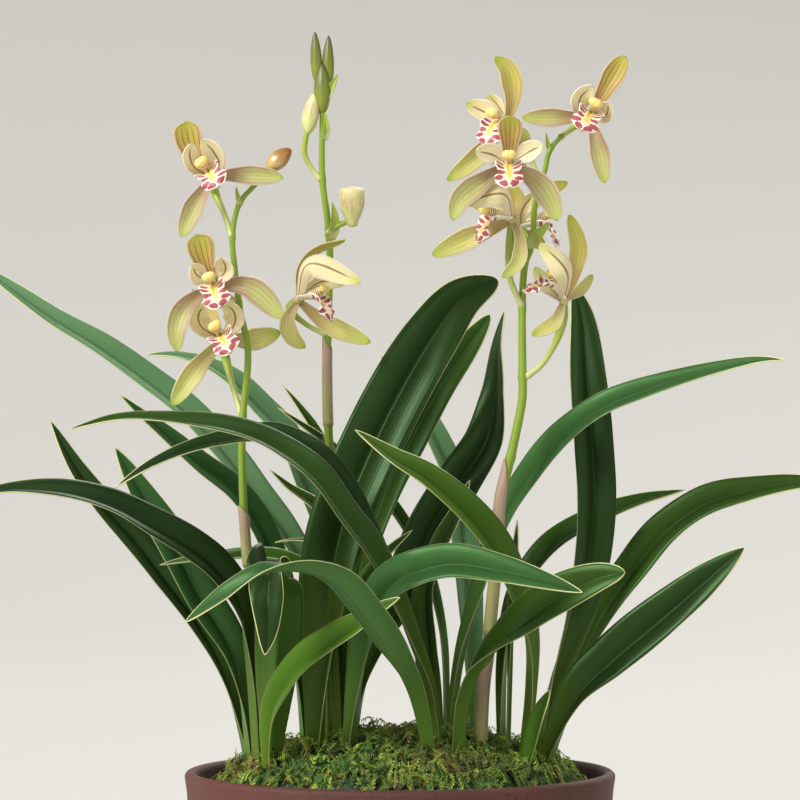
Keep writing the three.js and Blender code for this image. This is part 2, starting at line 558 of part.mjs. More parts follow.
// The lip hangs from under the column: a claw, two side lobes and a rounded mid lobe curling back.
// Places on it are given by their distance forward of the hub and their rise above it.
const LIP_ROOT = HUB_RADIUS + 2 * SEAT_GAP;
const LIP_MIDRIB = [[LIP_ROOT, -0.4], [9, -0.7], [14, -2], [15.8, -6.4]];
const LIP_STEPS = 6;
const LIP_ACROSS = 4;
const LIP_CURL = { throat: 1.45, front: -0.4 };
const SIDE_LOBES = { claw: 0.3, swell: 0.6, centre: 0.4, spread: 0.18, from: 0.5, to: 0.7 };
const MID_LOBE = { swell: 0.9, centre: 0.76, spread: 0.2, front: 0.25, roundness: 2.2 };
const CLAW_HALF_WIDTH = 0.8;
const COLUMN_AXIS = [[LIP_ROOT, 1.2], [7.5, 3.8], [11.5, 5.4]];
const ANTHER_SWELL = 0.55;

// Half the lip's width, measured along its curl: the side lobes, then the rounded mid lobe
function lipHalfWidth(along) {
  const side = SIDE_LOBES;
  const lobes = (side.claw + side.swell * Math.exp(-(((along - side.centre) / side.spread) ** 2)))
    * (1 - smooth(along, side.from, side.to));
  const past = (along - MID_LOBE.centre) / MID_LOBE.front;
  const front = Math.sqrt(Math.max(0, 1 - Math.max(0, past) ** MID_LOBE.roundness));
  const before = Math.min(0, along - MID_LOBE.centre) / MID_LOBE.spread;
  const mid = MID_LOBE.swell * Math.exp(-(before ** 2)) * front;
  return Math.max(CLAW_HALF_WIDTH, (LIP_WIDTH / 2) * Math.max(lobes, mid));
}

function lipSheet(points, side) {
  const curve = new THREE.CatmullRomCurve3(points, false, 'centripetal');
  const position = [];
  for (const half of [TEPAL_THICKNESS / 2, -TEPAL_THICKNESS / 2]) {
    for (let i = 0; i <= LIP_STEPS; i += 1) {
      const along = i / LIP_STEPS;
      const tangent = curve.getTangentAt(along);
      const normal = tangent.clone().cross(side).normalize();
      const spread = tangent.clone().cross(normal);
      const curl = lerp(LIP_CURL.throat, LIP_CURL.front, smooth(along, 0.45, 0.83));
      const bend = lipHalfWidth(along) / curl;
      for (let j = 0; j <= LIP_ACROSS; j += 1) {
        const angle = curl * ((2 * j) / LIP_ACROSS - 1);
        const point = curve.getPointAt(along).addScaledVector(spread, bend * Math.sin(angle));
        point.addScaledVector(normal, bend * (1 - Math.cos(angle)) + half);
        position.push(point.x, point.y, point.z);
      }
    }
  }
  const geometry = new THREE.BufferGeometry();
  geometry.setAttribute('position', new THREE.Float32BufferAttribute(position, 3));
  geometry.setIndex(sheetIndex(LIP_STEPS, LIP_ACROSS + 1));
  return geometry;
}

function lipAndColumn({ hub, facing, up }) {
  const face = new THREE.Vector3(...facing).normalize();
  const top = new THREE.Vector3(...up);
  top.addScaledVector(face, -top.dot(face)).normalize();
  const side = top.clone().cross(face);
  const on = ([forward, rise]) => seen(hub).addScaledVector(face, forward).addScaledVector(top, rise);
  const columnRadius = (along) => COLUMN_RADIUS + ANTHER_SWELL * smooth(along, 0.55, 0.8);
  const column = stem(COLUMN_AXIS.map(on), columnRadius, 6, 3);
  return solid(column).add(solid(lipSheet(LIP_MIDRIB.map(on), side)));
}

function perianth(flower) {
  const hub = new THREE.SphereGeometry(HUB_RADIUS, 7, 5).translate(...seen(flower.hub).toArray());
  const tepals = flower.tepals.map(([width, route, tip]) => tepal(flower.hub, width, route, tip));
  return union([solid(hub), ...tepals]);
}

// Flower stems: the main stem's route and radii, the flowers and buds it carries, its bracts
const STEM_TAPER = 1.6;
const SCAPES = {
  left: {
    radii: [1.9, 0.9],
    route: [[-52, -6, LEAF_FOOT], [-54, -9, 170], [-58, -13, 195], [-61, -17, 214], [-63, -18, 246],
      [-63, -18, 270], [-61, -18, 290], [-61, -18, 300], [-64, -18, 314], [-66, -18, 330],
      [-67, -18, 344], [-64, -18, 357], [-58, -18, 364], [-51.5, -18, 371.5]],
    pedicels: {
      left_top: [[-67, -18, 343], [-70.5, -16, 353], [-74, -13, 361]],
      left_middle: [[-65.5, -18, 317], [-70, -17, 321]],
      left_low: [[-63, -18, 271], [-67, -14, 284], [-70, -11, 296]],
    },
    buds: [[[-53, -18, 370], [-43.5, -18, 378.5], 3.8]],
    bracts: [[2, [[-64, -18.5, 356, 0], [-65, -19.5, 360, 0], [-65.5, -19.5, 363, 0]]]],
  },
  middle: {
    radii: [2.1, 1.1],
    route: [[-29, 13, LEAF_FOOT], [-29, 13, 182], [-28, 12, 214], [-25, 9, 242], [-28, 5, 258],
      [-29, 3, 278], [-29, 2, 306], [-28, 0, 334], [-29, 0, 350], [-31, 0, 366], [-31, 0, 396]],
    pedicels: {
      middle: [[-29, 2, 304], [-37, 2, 308], [-44, -2, 314]],
    },
    buds: [
      [[-31, 0, 392], [-31, 0, 413], 3.6],
      [[-33, 1, 404], [-34, 1, 425.5], 2.6],
      [[-29, 1, 400], [-28.5, 1, 424], 2.8],
      [[-37, 0, 384], [-34, 0, 401], 3.8],
      [[-19, -4, 347], [-19, -5, 363.5], 5.2],
    ],
    stalks: [
      [1.3, [[-32, 0, 366], [-38, 0, 376], [-37, 0, 387]]],
      [1.3, [[-29, 0, 345], [-26, -3, 347], [-20, -4, 350]]],
    ],
    bracts: [
      [5, [[-27, -2, 342, 0], [-26, -4, 350, 0], [-27, -4, 357, 0]]],
      [4, [[-30, -1, 398, 0], [-27, -1, 404, 0], [-25, -1, 408, 0]]],
      [3.5, [[-30, -0.5, 382, 0], [-29.5, -2.2, 387, 0], [-30, -2, 393, 0]]],
    ],
  },
  right: {
    radii: [2.3, 0.9],
    route: [[32, -14, LEAF_FOOT], [33, -14, 158], [35, -14, 178], [37, -14, 198], [39, -14, 218],
      [40, -14, 238], [43, -14, 250], [46, -14, 263], [49, -14, 279], [49, -14, 288], [49, -14, 320],
      [50, -14, 332], [53, -14, 342], [54, -14, 356], [58, -14, 370], [60, -14, 378], [66, -14, 385]],
    pedicels: {
      right_a: [[56, -14, 365], [52, -9, 375], [47, -4, 384]],
      right_b: [[64, -13, 383], [70, -11, 387.5]],
      right_c: [[55, -15, 362], [51, -17, 369], [47, -20, 374]],
      right_d: [[49, -14, 315], [44, -17, 327], [44, -19, 340]],
      right_e: [[52, -14, 337], [51, -12, 339], [50, -8, 342]],
      right_f: [[50, -14, 287], [56, -14, 291.5], [61.5, -12, 299.5], [65, -9, 309]],
    },
    buds: [],
    bracts: [
      [2, [[60, -14, 377, 0], [59, -15, 381, 0], [58.5, -15.5, 384.5, 0]]],
      [6, [[51, -15, 339, 0], [55, -17, 344, 0], [60, -16, 349, 0]]],
      [4, [[50, -15, 333, 0], [47, -16, 340, 0], [43, -16.5, 346, 0]]],
    ],
  },
};

function bract(width, route) {
  return solid(blade({
    points: route.map(seen),
    turns: route.map((row) => row[3]),
    halfWidth: (along) => Math.max(0.5, (width / 2) * (1 - along ** 2)),
    fold: () => 30,
    thickness: 0.9,
    steps: 4,
  }));
}

// A flower stalk ends just short of its hub
function pedicel(route, hub) {
  const points = route.map(seen);
  const end = seen(hub);
  const arrival = points.at(-1).clone().sub(end).normalize();
  points.push(end.addScaledVector(arrival, HUB_RADIUS + SEAT_GAP));
  return solid(stem(points, () => PEDICEL_RADIUS, 5, points.length + 1));
}

function scape({ radii, route, pedicels, buds, stalks = [], bracts }) {
  const parts = [solid(stem(rooted(route).points, (along) => lerp(...radii, along ** STEM_TAPER), 6, 20))];
  for (const [flower, path] of Object.entries(pedicels)) {
    parts.push(pedicel(path, FLOWERS[flower].hub));
  }
  for (const [radius, path] of stalks) {
    parts.push(solid(stem(path.map(seen), () => radius, 5, 5)));
  }
  for (const [from, to, radius] of buds) {
    parts.push(solid(drop(seen(from), seen(to), radius)));
  }
  for (const [width, path] of bracts) {
    parts.push(bract(width, path));
  }
  return geometryOf(union(parts));
}

const CLAY = 0x7a3f30;
const SOIL = 0x3a2b1d;
const MOSS = 0x7f9a2a;
const BULB = 0x8a9a4a;
const LEAF_GREEN = 0x2f5d33;
const YOUNG_GREEN = 0x6f9a2c;
const STEM_GREEN = 0x93b52f;
const TEPAL_GREEN = 0xc9cf8a;
const LIP_WHITE = 0xf2ead8;
const YOUNG_LEAVES = ['a4', 'b3', 'b4', 'sheath'];

add('pot', pot(), CLAY, 0.8);
add('potting_mix', pottingMix(), SOIL, 1);
add('moss', moss(), MOSS, 1);
add('rhizome', geometryOf(rhizome()), BULB, 0.7);
for (const [name, shape] of Object.entries(LEAVES)) {
  const nodeName = name === 'sheath' ? 'basal_sheath' : `leaf_${name}`;
  add(nodeName, leaf(shape), YOUNG_LEAVES.includes(name) ? YOUNG_GREEN : LEAF_GREEN, 0.4);
}
for (const [name, shape] of Object.entries(SCAPES)) {
  add(`scape_${name}`, scape(shape), STEM_GREEN, 0.5);
}
for (const [name, flower] of Object.entries(FLOWERS)) {
  add(`perianth_${name}`, geometryOf(perianth(flower)), TEPAL_GREEN, 0.5);
  add(`lip_${name}`, geometryOf(lipAndColumn(flower)), LIP_WHITE, 0.5);
}

export default group;
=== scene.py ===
"""Potted four-season orchid: finer leaves, flowers, stems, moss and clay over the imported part.

Routes and sizes are millimetres, as a grower would measure the plant, and meshes are metres in the
part's own frame: +Z up, the front towards -Y, the origin at the centre of the pot's underside.
"""
import logging
import math
import random
from dataclasses import dataclass
from enum import Enum
from typing import Callable, Sequence

import bmesh
import bpy
from mathutils import Matrix, Vector


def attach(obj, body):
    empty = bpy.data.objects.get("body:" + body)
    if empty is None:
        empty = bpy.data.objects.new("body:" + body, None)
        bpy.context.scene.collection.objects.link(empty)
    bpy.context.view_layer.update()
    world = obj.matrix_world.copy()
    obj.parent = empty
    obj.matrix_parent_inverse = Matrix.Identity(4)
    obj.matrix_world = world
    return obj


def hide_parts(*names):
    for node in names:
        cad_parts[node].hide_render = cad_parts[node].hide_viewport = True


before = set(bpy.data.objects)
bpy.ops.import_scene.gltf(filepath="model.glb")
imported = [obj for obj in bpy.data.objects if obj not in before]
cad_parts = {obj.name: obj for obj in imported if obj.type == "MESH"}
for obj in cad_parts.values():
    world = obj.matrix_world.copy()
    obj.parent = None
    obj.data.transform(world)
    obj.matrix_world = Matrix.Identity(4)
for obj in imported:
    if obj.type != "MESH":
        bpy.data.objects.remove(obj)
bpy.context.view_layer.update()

LOG = logging.getLogger("orchid")
MM = 0.001

# Sizes shared by several sub-assemblies. Leaves and stems stand on FOOT, upright at first.
POT_HEIGHT = 130.0
POT_RIM_RADIUS = 86.0
POT_FOOT_RADIUS = 64.0
POT_WALL = 5.0
POT_FLOOR = 9.0
MIX_TOP = 120.0
MOSS_RADIUS = 77.0
FOOT = 120.0
UPRIGHT = 6.0
HUB_RADIUS = 2.6
SEAT_GAP = 0.3

# A whole turn, near enough for a random direction or phase
ANY_TURN = 6.28

# The distance from a margin, in millimetres, that is written where a piece has none
NO_MARGIN = 5.0

Row = tuple[float, ...]
Socket = bpy.types.NodeSocket
Material = bpy.types.Material

# A mesh in the making
Draft = bmesh.types.BMesh

# Gives a corner's place, in metres, from u and v, its shares across its grid and along it
Shape = Callable[[float, float], Vector]


def lerp(a: float, b: float, t: float) -> float:
    """Returns the value t of the way from a to b."""
    return a + (b - a) * t


def smooth(x: float, low: float, high: float) -> float:
    """Returns 0 below low, 1 above high, and an even ease between them."""
    t = min(1.0, max(0.0, (x - low) / (high - low)))
    return t * t * (3 - 2 * t)


def bell(x: float, centre: float, width: float) -> float:
    """Returns a bump of height 1 at centre that falls away over width."""
    return math.exp(-(((x - centre) / width) ** 2))


@dataclass(frozen=True)
class Sight:
    """Places are chosen as seen from the front, with a depth behind the plane through the axis.

    The eye stands level in front of the plant, and the plant opens out front and back as it rises.
    """

    distance: float = 1600.0
    height: float = 278.0
    fan: float = 0.6
    fan_low: float = 130.0
    fan_high: float = 230.0

    def place(self, across: float, depth: float, up: float) -> Vector:
        """Returns the point, in metres, that is seen at across and up from its depth."""
        scale = 1 + depth / self.distance
        return Vector((across * scale, depth, self.height + (up - self.height) * scale)) * MM

    def fanned(self, depth: float, up: float) -> float:
        """Returns the depth as it is once the plant has opened out at that height."""
        return depth * (1 + self.fan * smooth(up, self.fan_low, self.fan_high))

    def seen(self, row: Sequence[float]) -> Vector:
        """Returns the point of a route's row of across, depth and up."""
        across, depth, up = row[:3]
        return self.place(across, self.fanned(depth, up), up)

    def seen_from(self, hub: Sequence[float], row: Sequence[float]) -> Vector:
        """Returns a point of a flower, which keeps its depth from the flower's hub."""
        across, depth, up = row[:3]
        return self.place(across, self.fanned(hub[1], hub[2]) + depth - hub[1], up)


SIGHT = Sight()
TOWARDS_EYE = Vector((0, -1, 0))


class Route:
    """A smooth curve through its points, with even lengths along it."""

    LENGTHS = 200

    def __init__(self, points: Sequence[Vector]) -> None:
        """Measures the curve once, so that a share of its length can be found quickly.

        Args:
            points: The points that it passes through.
        """
        self.points = [Vector(point) for point in points]
        self.last = len(points) - 1
        ends = [self.at(i / self.LENGTHS) for i in range(self.LENGTHS + 1)]
        self.sums = [0.0]
        for start, end in zip(ends, ends[1:]):
            self.sums.append(self.sums[-1] + (end - start).length)
        self.length = self.sums[-1]

    def at(self, t: float) -> Vector:
        """Finds a point of the curve.

        Args:
            t: From 0 to 1, in equal steps from point to point.

        Returns:
            The point.
        """
        place = self.last * min(1.0, max(0.0, t))
        i = min(int(place), self.last - 1)
        w = place - i
        p1, p2 = self.points[i], self.points[i + 1]
        p0 = self.points[i - 1] if i > 0 else 2 * p1 - p2
        p3 = self.points[i + 2] if i + 2 <= self.last else 2 * p2 - p1
        d0, d1, d2 = (max(1e-9, (b - a).length) ** 0.5 for a, b in ((p0, p1), (p1, p2), (p2, p3)))
        t1 = ((p1 - p0) / d0 - (p2 - p0) / (d0 + d1) + (p2 - p1) / d1) * d1
        t2 = ((p2 - p1) / d1 - (p3 - p1) / (d1 + d2) + (p3 - p2) / d2) * d1
        c2 = -3 * p1 + 3 * p2 - 2 * t1 - t2
        c3 = 2 * p1 - 2 * p2 + t1 + t2
        return p1 + t1 * w + c2 * w * w + c3 * w * w * w

    def tangent(self, t: float) -> Vector:
        """Returns the curve's direction at t."""
        return (self.at(min(1.0, t + 1e-4)) - self.at(max(0.0, t - 1e-4))).normalized()

    def t_of(self, along: float) -> float:
        """Finds the t at a share of the curve's length.

        Args:
            along: The share.

        Returns:
            The t.
        """
        target = along * self.length
        low, high = 0, self.LENGTHS
        while high - low > 1:
            middle = (low + high) // 2
            low, high = (middle, high) if self.sums[middle] <= target else (low, middle)
        step = self.sums[high] - self.sums[low]
        return (low + (target - self.sums[low]) / max(step, 1e-9)) / self.LENGTHS


class Midrib:
    """The route of a blade with its upper face, which turns from the eye by a given angle."""

    def __init__(self, points: Sequence[Vector], turns: Sequence[float]) -> None:
        """Finds the upper face's direction at each point.

        Args:
            points: The points that the midrib passes through.
            turns: The upper face's turn from the eye at each of them, in degrees.
        """
        self.route = Route(points)
        self.last = len(points) - 1
        self.faces = [self.upper_face(self.route.tangent(i / self.last), math.radians(turn))
                      for i, turn in enumerate(turns)]
        self.known: dict[float, tuple[Vector, Vector, Vector]] = {}

    @staticmethod
    def upper_face(tangent: Vector, angle: float) -> Vector:
        """Returns the direction across the tangent that is turned from the eye by angle."""
        facing = (TOWARDS_EYE - tangent * TOWARDS_EYE.dot(tangent)).normalized()
        return facing * math.cos(angle) + tangent.cross(facing) * math.sin(angle)

    def frame(self, along: float) -> tuple[Vector, Vector, Vector]:
        """Finds how the blade lies at a share of its length.

        Args:
            along: The share.

        Returns:
            The point, the direction across the blade and its upper face's direction.
        """
        key = round(along, 6)
        if key not in self.known:
            t = self.route.t_of(along)
            tangent = self.route.tangent(t)
            k = min(int(t * self.last), self.last - 1)
            normal = self.faces[k].lerp(self.faces[k + 1], t * self.last - k)
            normal = (normal - tangent * normal.dot(tangent)).normalized()
            self.known[key] = (self.route.at(t), tangent.cross(normal), normal)
        return self.known[key]


def rooted(route: Sequence[Row]) -> tuple[list[Vector], list[float]]:
    """Stands a route upright on the pseudobulb's crown at first.

    Args:
        route: Its rows, as seen from the front.

    Returns:
        Its points, and its turns where the rows have them.
    """
    foot = SIGHT.seen(route[0])
    foot.z = FOOT * MM
    knee = foot + upward(UPRIGHT * MM)
    points = [foot, knee] + [SIGHT.seen(row) for row in route[1:]]
    turns = [route[0][3]] + [row[3] for row in route] if len(route[0]) > 3 else []
    return points, turns


class Tube:
    """A round stem's route with a steady pair of directions across it."""

    def __init__(self, points: Sequence[Vector], steps: int = 60) -> None:
        """Carries one side direction along the route without twisting it.

        Args:
            points: The points that the stem passes through.
            steps: How many directions are kept along it.
        """
        self.route = Route(points)
        self.steps = steps
        tangent = self.route.tangent(0)
        side = Vector((1, 0, 0)) if abs(tangent.x) < 0.8 else Vector((0, 1, 0))
        self.sides = []
        for i in range(steps + 1):
            tangent = self.route.tangent(self.route.t_of(i / steps))
            side = (side - tangent * side.dot(tangent)).normalized()
            self.sides.append(side.copy())

    def point(self, turn: float, along: float, radius: float) -> Vector:
        """Finds a point round the stem.

        Args:
            turn: The share of a turn round it.
            along: The share of its length.
            radius: The point's distance from its middle, in metres.

        Returns:
            The point.
        """
        along = min(1.0, max(0.0, along))
        t = self.route.t_of(along)
        tangent = self.route.tangent(t)
        side = self.sides[round(along * self.steps)]
        side = (side - tangent * side.dot(tangent)).normalized()
        angle = math.tau * turn
        return self.route.at(t) + (side * math.cos(angle) + tangent.cross(side) * math.sin(angle)) * radius


def upward(height: float) -> Vector:
    """Returns a step straight up."""
    return Vector((0, 0, height))


def around(radius: float, angle: float, up: float) -> Vector:
    """Returns the point at a radius, an angle and a height, in millimetres, round an upright axis."""
    return Vector((radius * math.cos(angle), radius * math.sin(angle), up))


def dressed(corners: Sequence[bmesh.types.BMVert], material: int) -> list[bmesh.types.BMFace]:
    """Smooths the faces round some corners and gives them their material.

    Args:
        corners: The corners.
        material: The slot of the faces' material.

    Returns:
        The faces.
    """
    faces = list({face for corner in corners for face in corner.link_faces})
    for face in faces:
        face.material_index = material
        face.smooth = True
    return faces


def shaped_grid(bm: Draft, columns: int, rows: int, shape: Shape, material: int = 0,
                closed: bool = False, edge: Callable[[float, float], float] | None = None) -> list:
    """Lays a grid of quads and moves each corner to where shape puts it.

    Args:
        bm: The mesh in the making.
        columns: How many quads the grid has across.
        rows: How many quads it has along.
        shape: Gives a corner's point, in metres, from its shares across and along.
        material: The slot of the grid's material.
        closed: Whether the two sides meet, as round a stem, or a row draws together to a point.
        edge: Gives a corner's distance from the blade's margin, in millimetres.

    Returns:
        The grid's faces.
    """
    bm.loops.layers.uv.verify()
    layer = bm.verts.layers.float.get("edge") or bm.verts.layers.float.new("edge")
    made = bmesh.ops.create_grid(bm, x_segments=columns, y_segments=rows, size=0.5, calc_uvs=True)
    corners = made["verts"]
    faces = dressed(corners, material)
    for corner in corners:
        u, v = corner.co.x + 0.5, corner.co.y + 0.5
        corner.co = shape(u, v)
        corner[layer] = edge(u, v) if edge else NO_MARGIN
    if closed:
        bmesh.ops.remove_doubles(bm, verts=corners, dist=2e-6)
        faces = [face for face in faces if face.is_valid]
    return faces


def thicken(bm: Draft, faces: list, thickness: float, under: int | None = None) -> None:
    """Gives a sheet its thickness below its upper face.

    Args:
        bm: The mesh in the making.
        faces: The sheet's faces.
        thickness: Its thickness, in metres.
        under: The slot of its under side's material, where that has one of its own.
    """
    bm.normal_update()
    made = bmesh.ops.solidify(bm, geom=faces, thickness=thickness)
    if under is not None:
        for item in made["geom"]:
            if isinstance(item, bmesh.types.BMFace):
                item.material_index = under
    for face in bm.faces:
        face.smooth = True


def to_mesh(name: str, bm: Draft) -> bpy.types.Mesh:
    """Turns a mesh in the making into a finished one.

    Args:
        name: The mesh's name.
        bm: The mesh in the making, which is freed.

    Returns:
        The finished mesh.
    """
    mesh = bpy.data.meshes.new(name)
    bm.to_mesh(mesh)
    bm.free()
    return mesh


def linked(name: str, data: bpy.types.ID) -> bpy.types.Object:
    """Makes an object at the origin and links it to the scene.

    Args:
        name: The object's name.
        data: The mesh, light or camera that it shows.

    Returns:
        The new object.
    """
    made = bpy.data.objects.new(name, data)
    bpy.context.scene.collection.objects.link(made)
    return made


def piece(name: str, bm: Draft, materials: Sequence[Material], slot: str,
          *nodes: str) -> bpy.types.Object:
    """Makes a finished piece that rides on the root body and stands for CAD nodes.

    Args:
        name: The piece's name.
        bm: Its mesh, in metres, which is used up.
        materials: Its material slots, in order.
        slot: The name of the material slot for its finish; it is not used.
        *nodes: The CAD nodes that it replaces.

    Returns:
        The new object.
    """
    mesh = to_mesh(name, bm)
    for material in materials:
        mesh.materials.append(material)
    made = linked(name, mesh)
    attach(made, "root")
    if nodes:
        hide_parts(*nodes)
    LOG.info("%s: %d faces, stands for %s", name, len(mesh.polygons), ", ".join(nodes) or "nothing else")
    return made


def colour(code: str) -> tuple[float, float, float, float]:
    """Returns the linear colour of a #rrggbb code."""
    parts = [int(code[i:i + 2], 16) / 255 for i in (1, 3, 5)]
    return (*(p / 12.92 if p <= 0.04045 else ((p + 0.055) / 1.055) ** 2.4 for p in parts), 1.0)


class Graph:
    """Builds one material's nodes round its surface shader."""

    def __init__(self, name: str, roughness: float) -> None:
        """Starts a material with its even roughness on the shader itself.

        Args:
            name: The material's name.
            roughness: Its roughness, the same all over.
        """
        self.material = bpy.data.materials.new(name)
        self.material.use_nodes = True
        self.tree = self.material.node_tree
        self.shader = self.tree.nodes["Principled BSDF"]
        self.even("Roughness", roughness)
        self.uv = None

    def even(self, name: str, value: object) -> None:
        """Sets one of the shader's inputs, the same all over the surface."""
        self.shader.inputs[name].default_value = value

    def node(self, kind: str, **settings: object) -> bpy.types.Node:
        """Adds a node.

        Args:
            kind: The node's type.
            **settings: Its properties.

        Returns:
            The node.
        """
        made = self.tree.nodes.new(kind)
        for key, value in settings.items():
            setattr(made, key, value)
        return made

    def feed(self, socket: Socket, value: object) -> None:
        """Links a socket to another, or sets its value.

        Args:
            socket: The input.
            value: An output to link it to, or a plain value.
        """
        if isinstance(value, Socket):
            self.tree.links.new(value, socket)
        else:
            socket.default_value = value

    def paint(self, socket: Socket, value: object) -> None:
        """Feeds a colour, a code or an output, to a socket."""
        self.feed(socket, colour(value) if isinstance(value, str) else value)

    def math(self, operation: str, a: object, b: object = 0.0) -> Socket:
        """Adds an operation on one or two numbers.

        Args:
            operation: The operation's name.
            a: The first number.
            b: The second one.

        Returns:
            The result.
        """
        made = self.node("ShaderNodeMath", operation=operation)
        self.feed(made.inputs[0], a)
        self.feed(made.inputs[1], b)
        return made.outputs[0]

    def times(self, a: object, b: object) -> Socket:
        """Returns the product of two numbers."""
        return self.math("MULTIPLY", a, b)

    def plus(self, a: object, b: object) -> Socket:
        """Returns the sum of two numbers."""
        return self.math("ADD", a, b)

    def minus(self, a: object, b: object) -> Socket:
        """Returns the first number less the second."""
        return self.math("SUBTRACT", a, b)

    def across(self) -> Socket:
        """Returns the share across the piece's own UV map."""
        return self.split_uv().outputs["X"]

    def along(self) -> Socket:
        """Returns the share along the piece's own UV map."""
        return self.split_uv().outputs["Y"]

    def split_uv(self) -> bpy.types.Node:
        """Splits the UV map, at the first call only.

        Returns:
            The node that splits it.
        """
        if self.uv is None:
            self.uv = self.node("ShaderNodeSeparateXYZ")
            self.feed(self.uv.inputs[0], self.node("ShaderNodeTexCoord").outputs["UV"])
        return self.uv

    def off_centre(self) -> Socket:
        """Returns 0 on the midrib and 1 at both margins."""
        twice = self.times(self.across(), 2.0)
        return self.math("ABSOLUTE", self.minus(twice, 1.0))

    def mapped(self, source: str, scale: tuple[float, float, float]) -> Socket:
        """Stretches the Object or the UV coordinates.

        Args:
            source: Which of the two.
            scale: How much, along each axis.

        Returns:
            The stretched coordinates.
        """
        made = self.node("ShaderNodeMapping")
        self.feed(made.inputs["Vector"], self.node("ShaderNodeTexCoord").outputs[source])
        made.inputs["Scale"].default_value = scale
        return made.outputs[0]

    def noise(self, vector: Socket, scale: float, detail: float) -> Socket:
        """Adds a cloudy noise.

        Args:
            vector: Its coordinates.
            scale: How many clouds it has to a unit.
            detail: How finely they are broken up.

        Returns:
            The noise, from 0 to 1.
        """
        made = self.node("ShaderNodeTexNoise")
        made.inputs["Scale"].default_value = scale
        made.inputs["Detail"].default_value = detail
        self.feed(made.inputs["Vector"], vector)
        return made.outputs["Fac"]

    def mottle(self, scale: float, detail: float) -> Socket:
        """Returns a cloudy noise in the piece's own space, with scale as its clouds in a metre."""
        return self.noise(self.mapped("Object", (1.0, 1.0, 1.0)), scale, detail)

    def drawn(self, across: float, along: float, detail: float) -> Socket:
        """Returns a cloudy noise that is drawn out, with so many clouds across and along the piece."""
        return self.noise(self.mapped("UV", (across, along, 1.0)), 1.0, detail)

    def attribute(self, name: str) -> Socket:
        """Returns a number that the piece's mesh carries."""
        return self.node("ShaderNodeAttribute", attribute_name=name).outputs["Fac"]

    def step(self, value: object, low: float, high: float) -> Socket:
        """Adds an eased rise, or a fall where high is the lower.

        Args:
            value: What it follows.
            low: Where it is 0.
            high: Where it is 1.

        Returns:
            The rise, from 0 to 1.
        """
        made = self.node("ShaderNodeMapRange", interpolation_type="SMOOTHSTEP")
        self.feed(made.inputs["Value"], value)
        made.inputs["From Min"].default_value = min(low, high)
        made.inputs["From Max"].default_value = max(low, high)
        made.inputs["To Min"].default_value = 0.0 if low < high else 1.0
        made.inputs["To Max"].default_value = 1.0 if low < high else 0.0
        return made.outputs[0]

    def mix(self, share: object, a: object, b: object) -> Socket:
        """Blends two colours, each a code or a socket.

        Args:
            share: The second one's share.
            a: The first colour.
            b: The second one.

        Returns:
            The blend.
        """
        made = self.node("ShaderNodeMix", data_type="RGBA")
        self.feed(made.inputs[0], share)
        self.paint(made.inputs[6], a)
        self.paint(made.inputs[7], b)
        return made.outputs[2]

    def tint(self, base: object, mask: object, share: float, code: str) -> Socket:
        """Returns the base with a colour over it, at its greatest share where the mask is 1."""
        return self.mix(self.times(mask, share), base, code)

    def lines(self, count: int, width: float, blur: float) -> Socket:
        """Returns thin lines along the piece, count of them across it, the middle one on the midrib."""
        cell = self.math("FRACT", self.times(self.across(), float(count)))
        return self.step(self.math("ABSOLUTE", self.minus(cell, 0.5)), width + blur, width)

    def translucent(self, weight: float, radii: tuple[float, float, float], depth: float) -> None:
        """Lets light through the shader, as through a petal.

        Args:
            weight: How much of it.
            radii: How far red, green and blue reach, as shares of the depth.
            depth: The depth, in metres.
        """
        self.even("Subsurface Weight", weight)
        self.even("Subsurface Radius", radii)
        self.even("Subsurface Scale", depth)

    def finish(self, base: object, height: object | None = None,
               depth: float = 0.0001) -> Material:
        """Joins the colour and the relief to the shader.

        Args:
            base: The colour, a code or a socket.
            height: The relief.
            depth: Its depth, in metres.

        Returns:
            The material.
        """
        self.paint(self.shader.inputs["Base Color"], base)
        if height is not None:
            bump = self.node("ShaderNodeBump")
            bump.inputs["Strength"].default_value = 1.0
            bump.inputs["Distance"].default_value = depth
            self.feed(bump.inputs["Height"], height)
            self.feed(self.shader.inputs["Normal"], bump.outputs[0])
        return self.material


class Tone(Enum):
    """The greens that the leaves show, by age and by painted light: the deep green is the leaf's own dark
    green with painted shade for leaves in shadow, and the teal and pale greens carry a painted sheen for
    leaves in the light.
    """

    DEEP_SHADED = "deep"
    MID = "mid"
    TEAL_SHEEN = "teal_sheen"
    PALE_SHEEN = "pale"
    BRIGHT = "bright"
    YOUNG = "young"


class Age(Enum):
    """A flower just opened is yellow-green, and one some days open has blushed mauve."""

    FRESH = "fresh"
    RIPE = "ripe"


class Tip(Enum):
    """The outlines that a leaf's or a tepal's tip has."""

    BLUNT = "blunt"
    ROUNDED = "rounded"
    POINTED = "pointed"


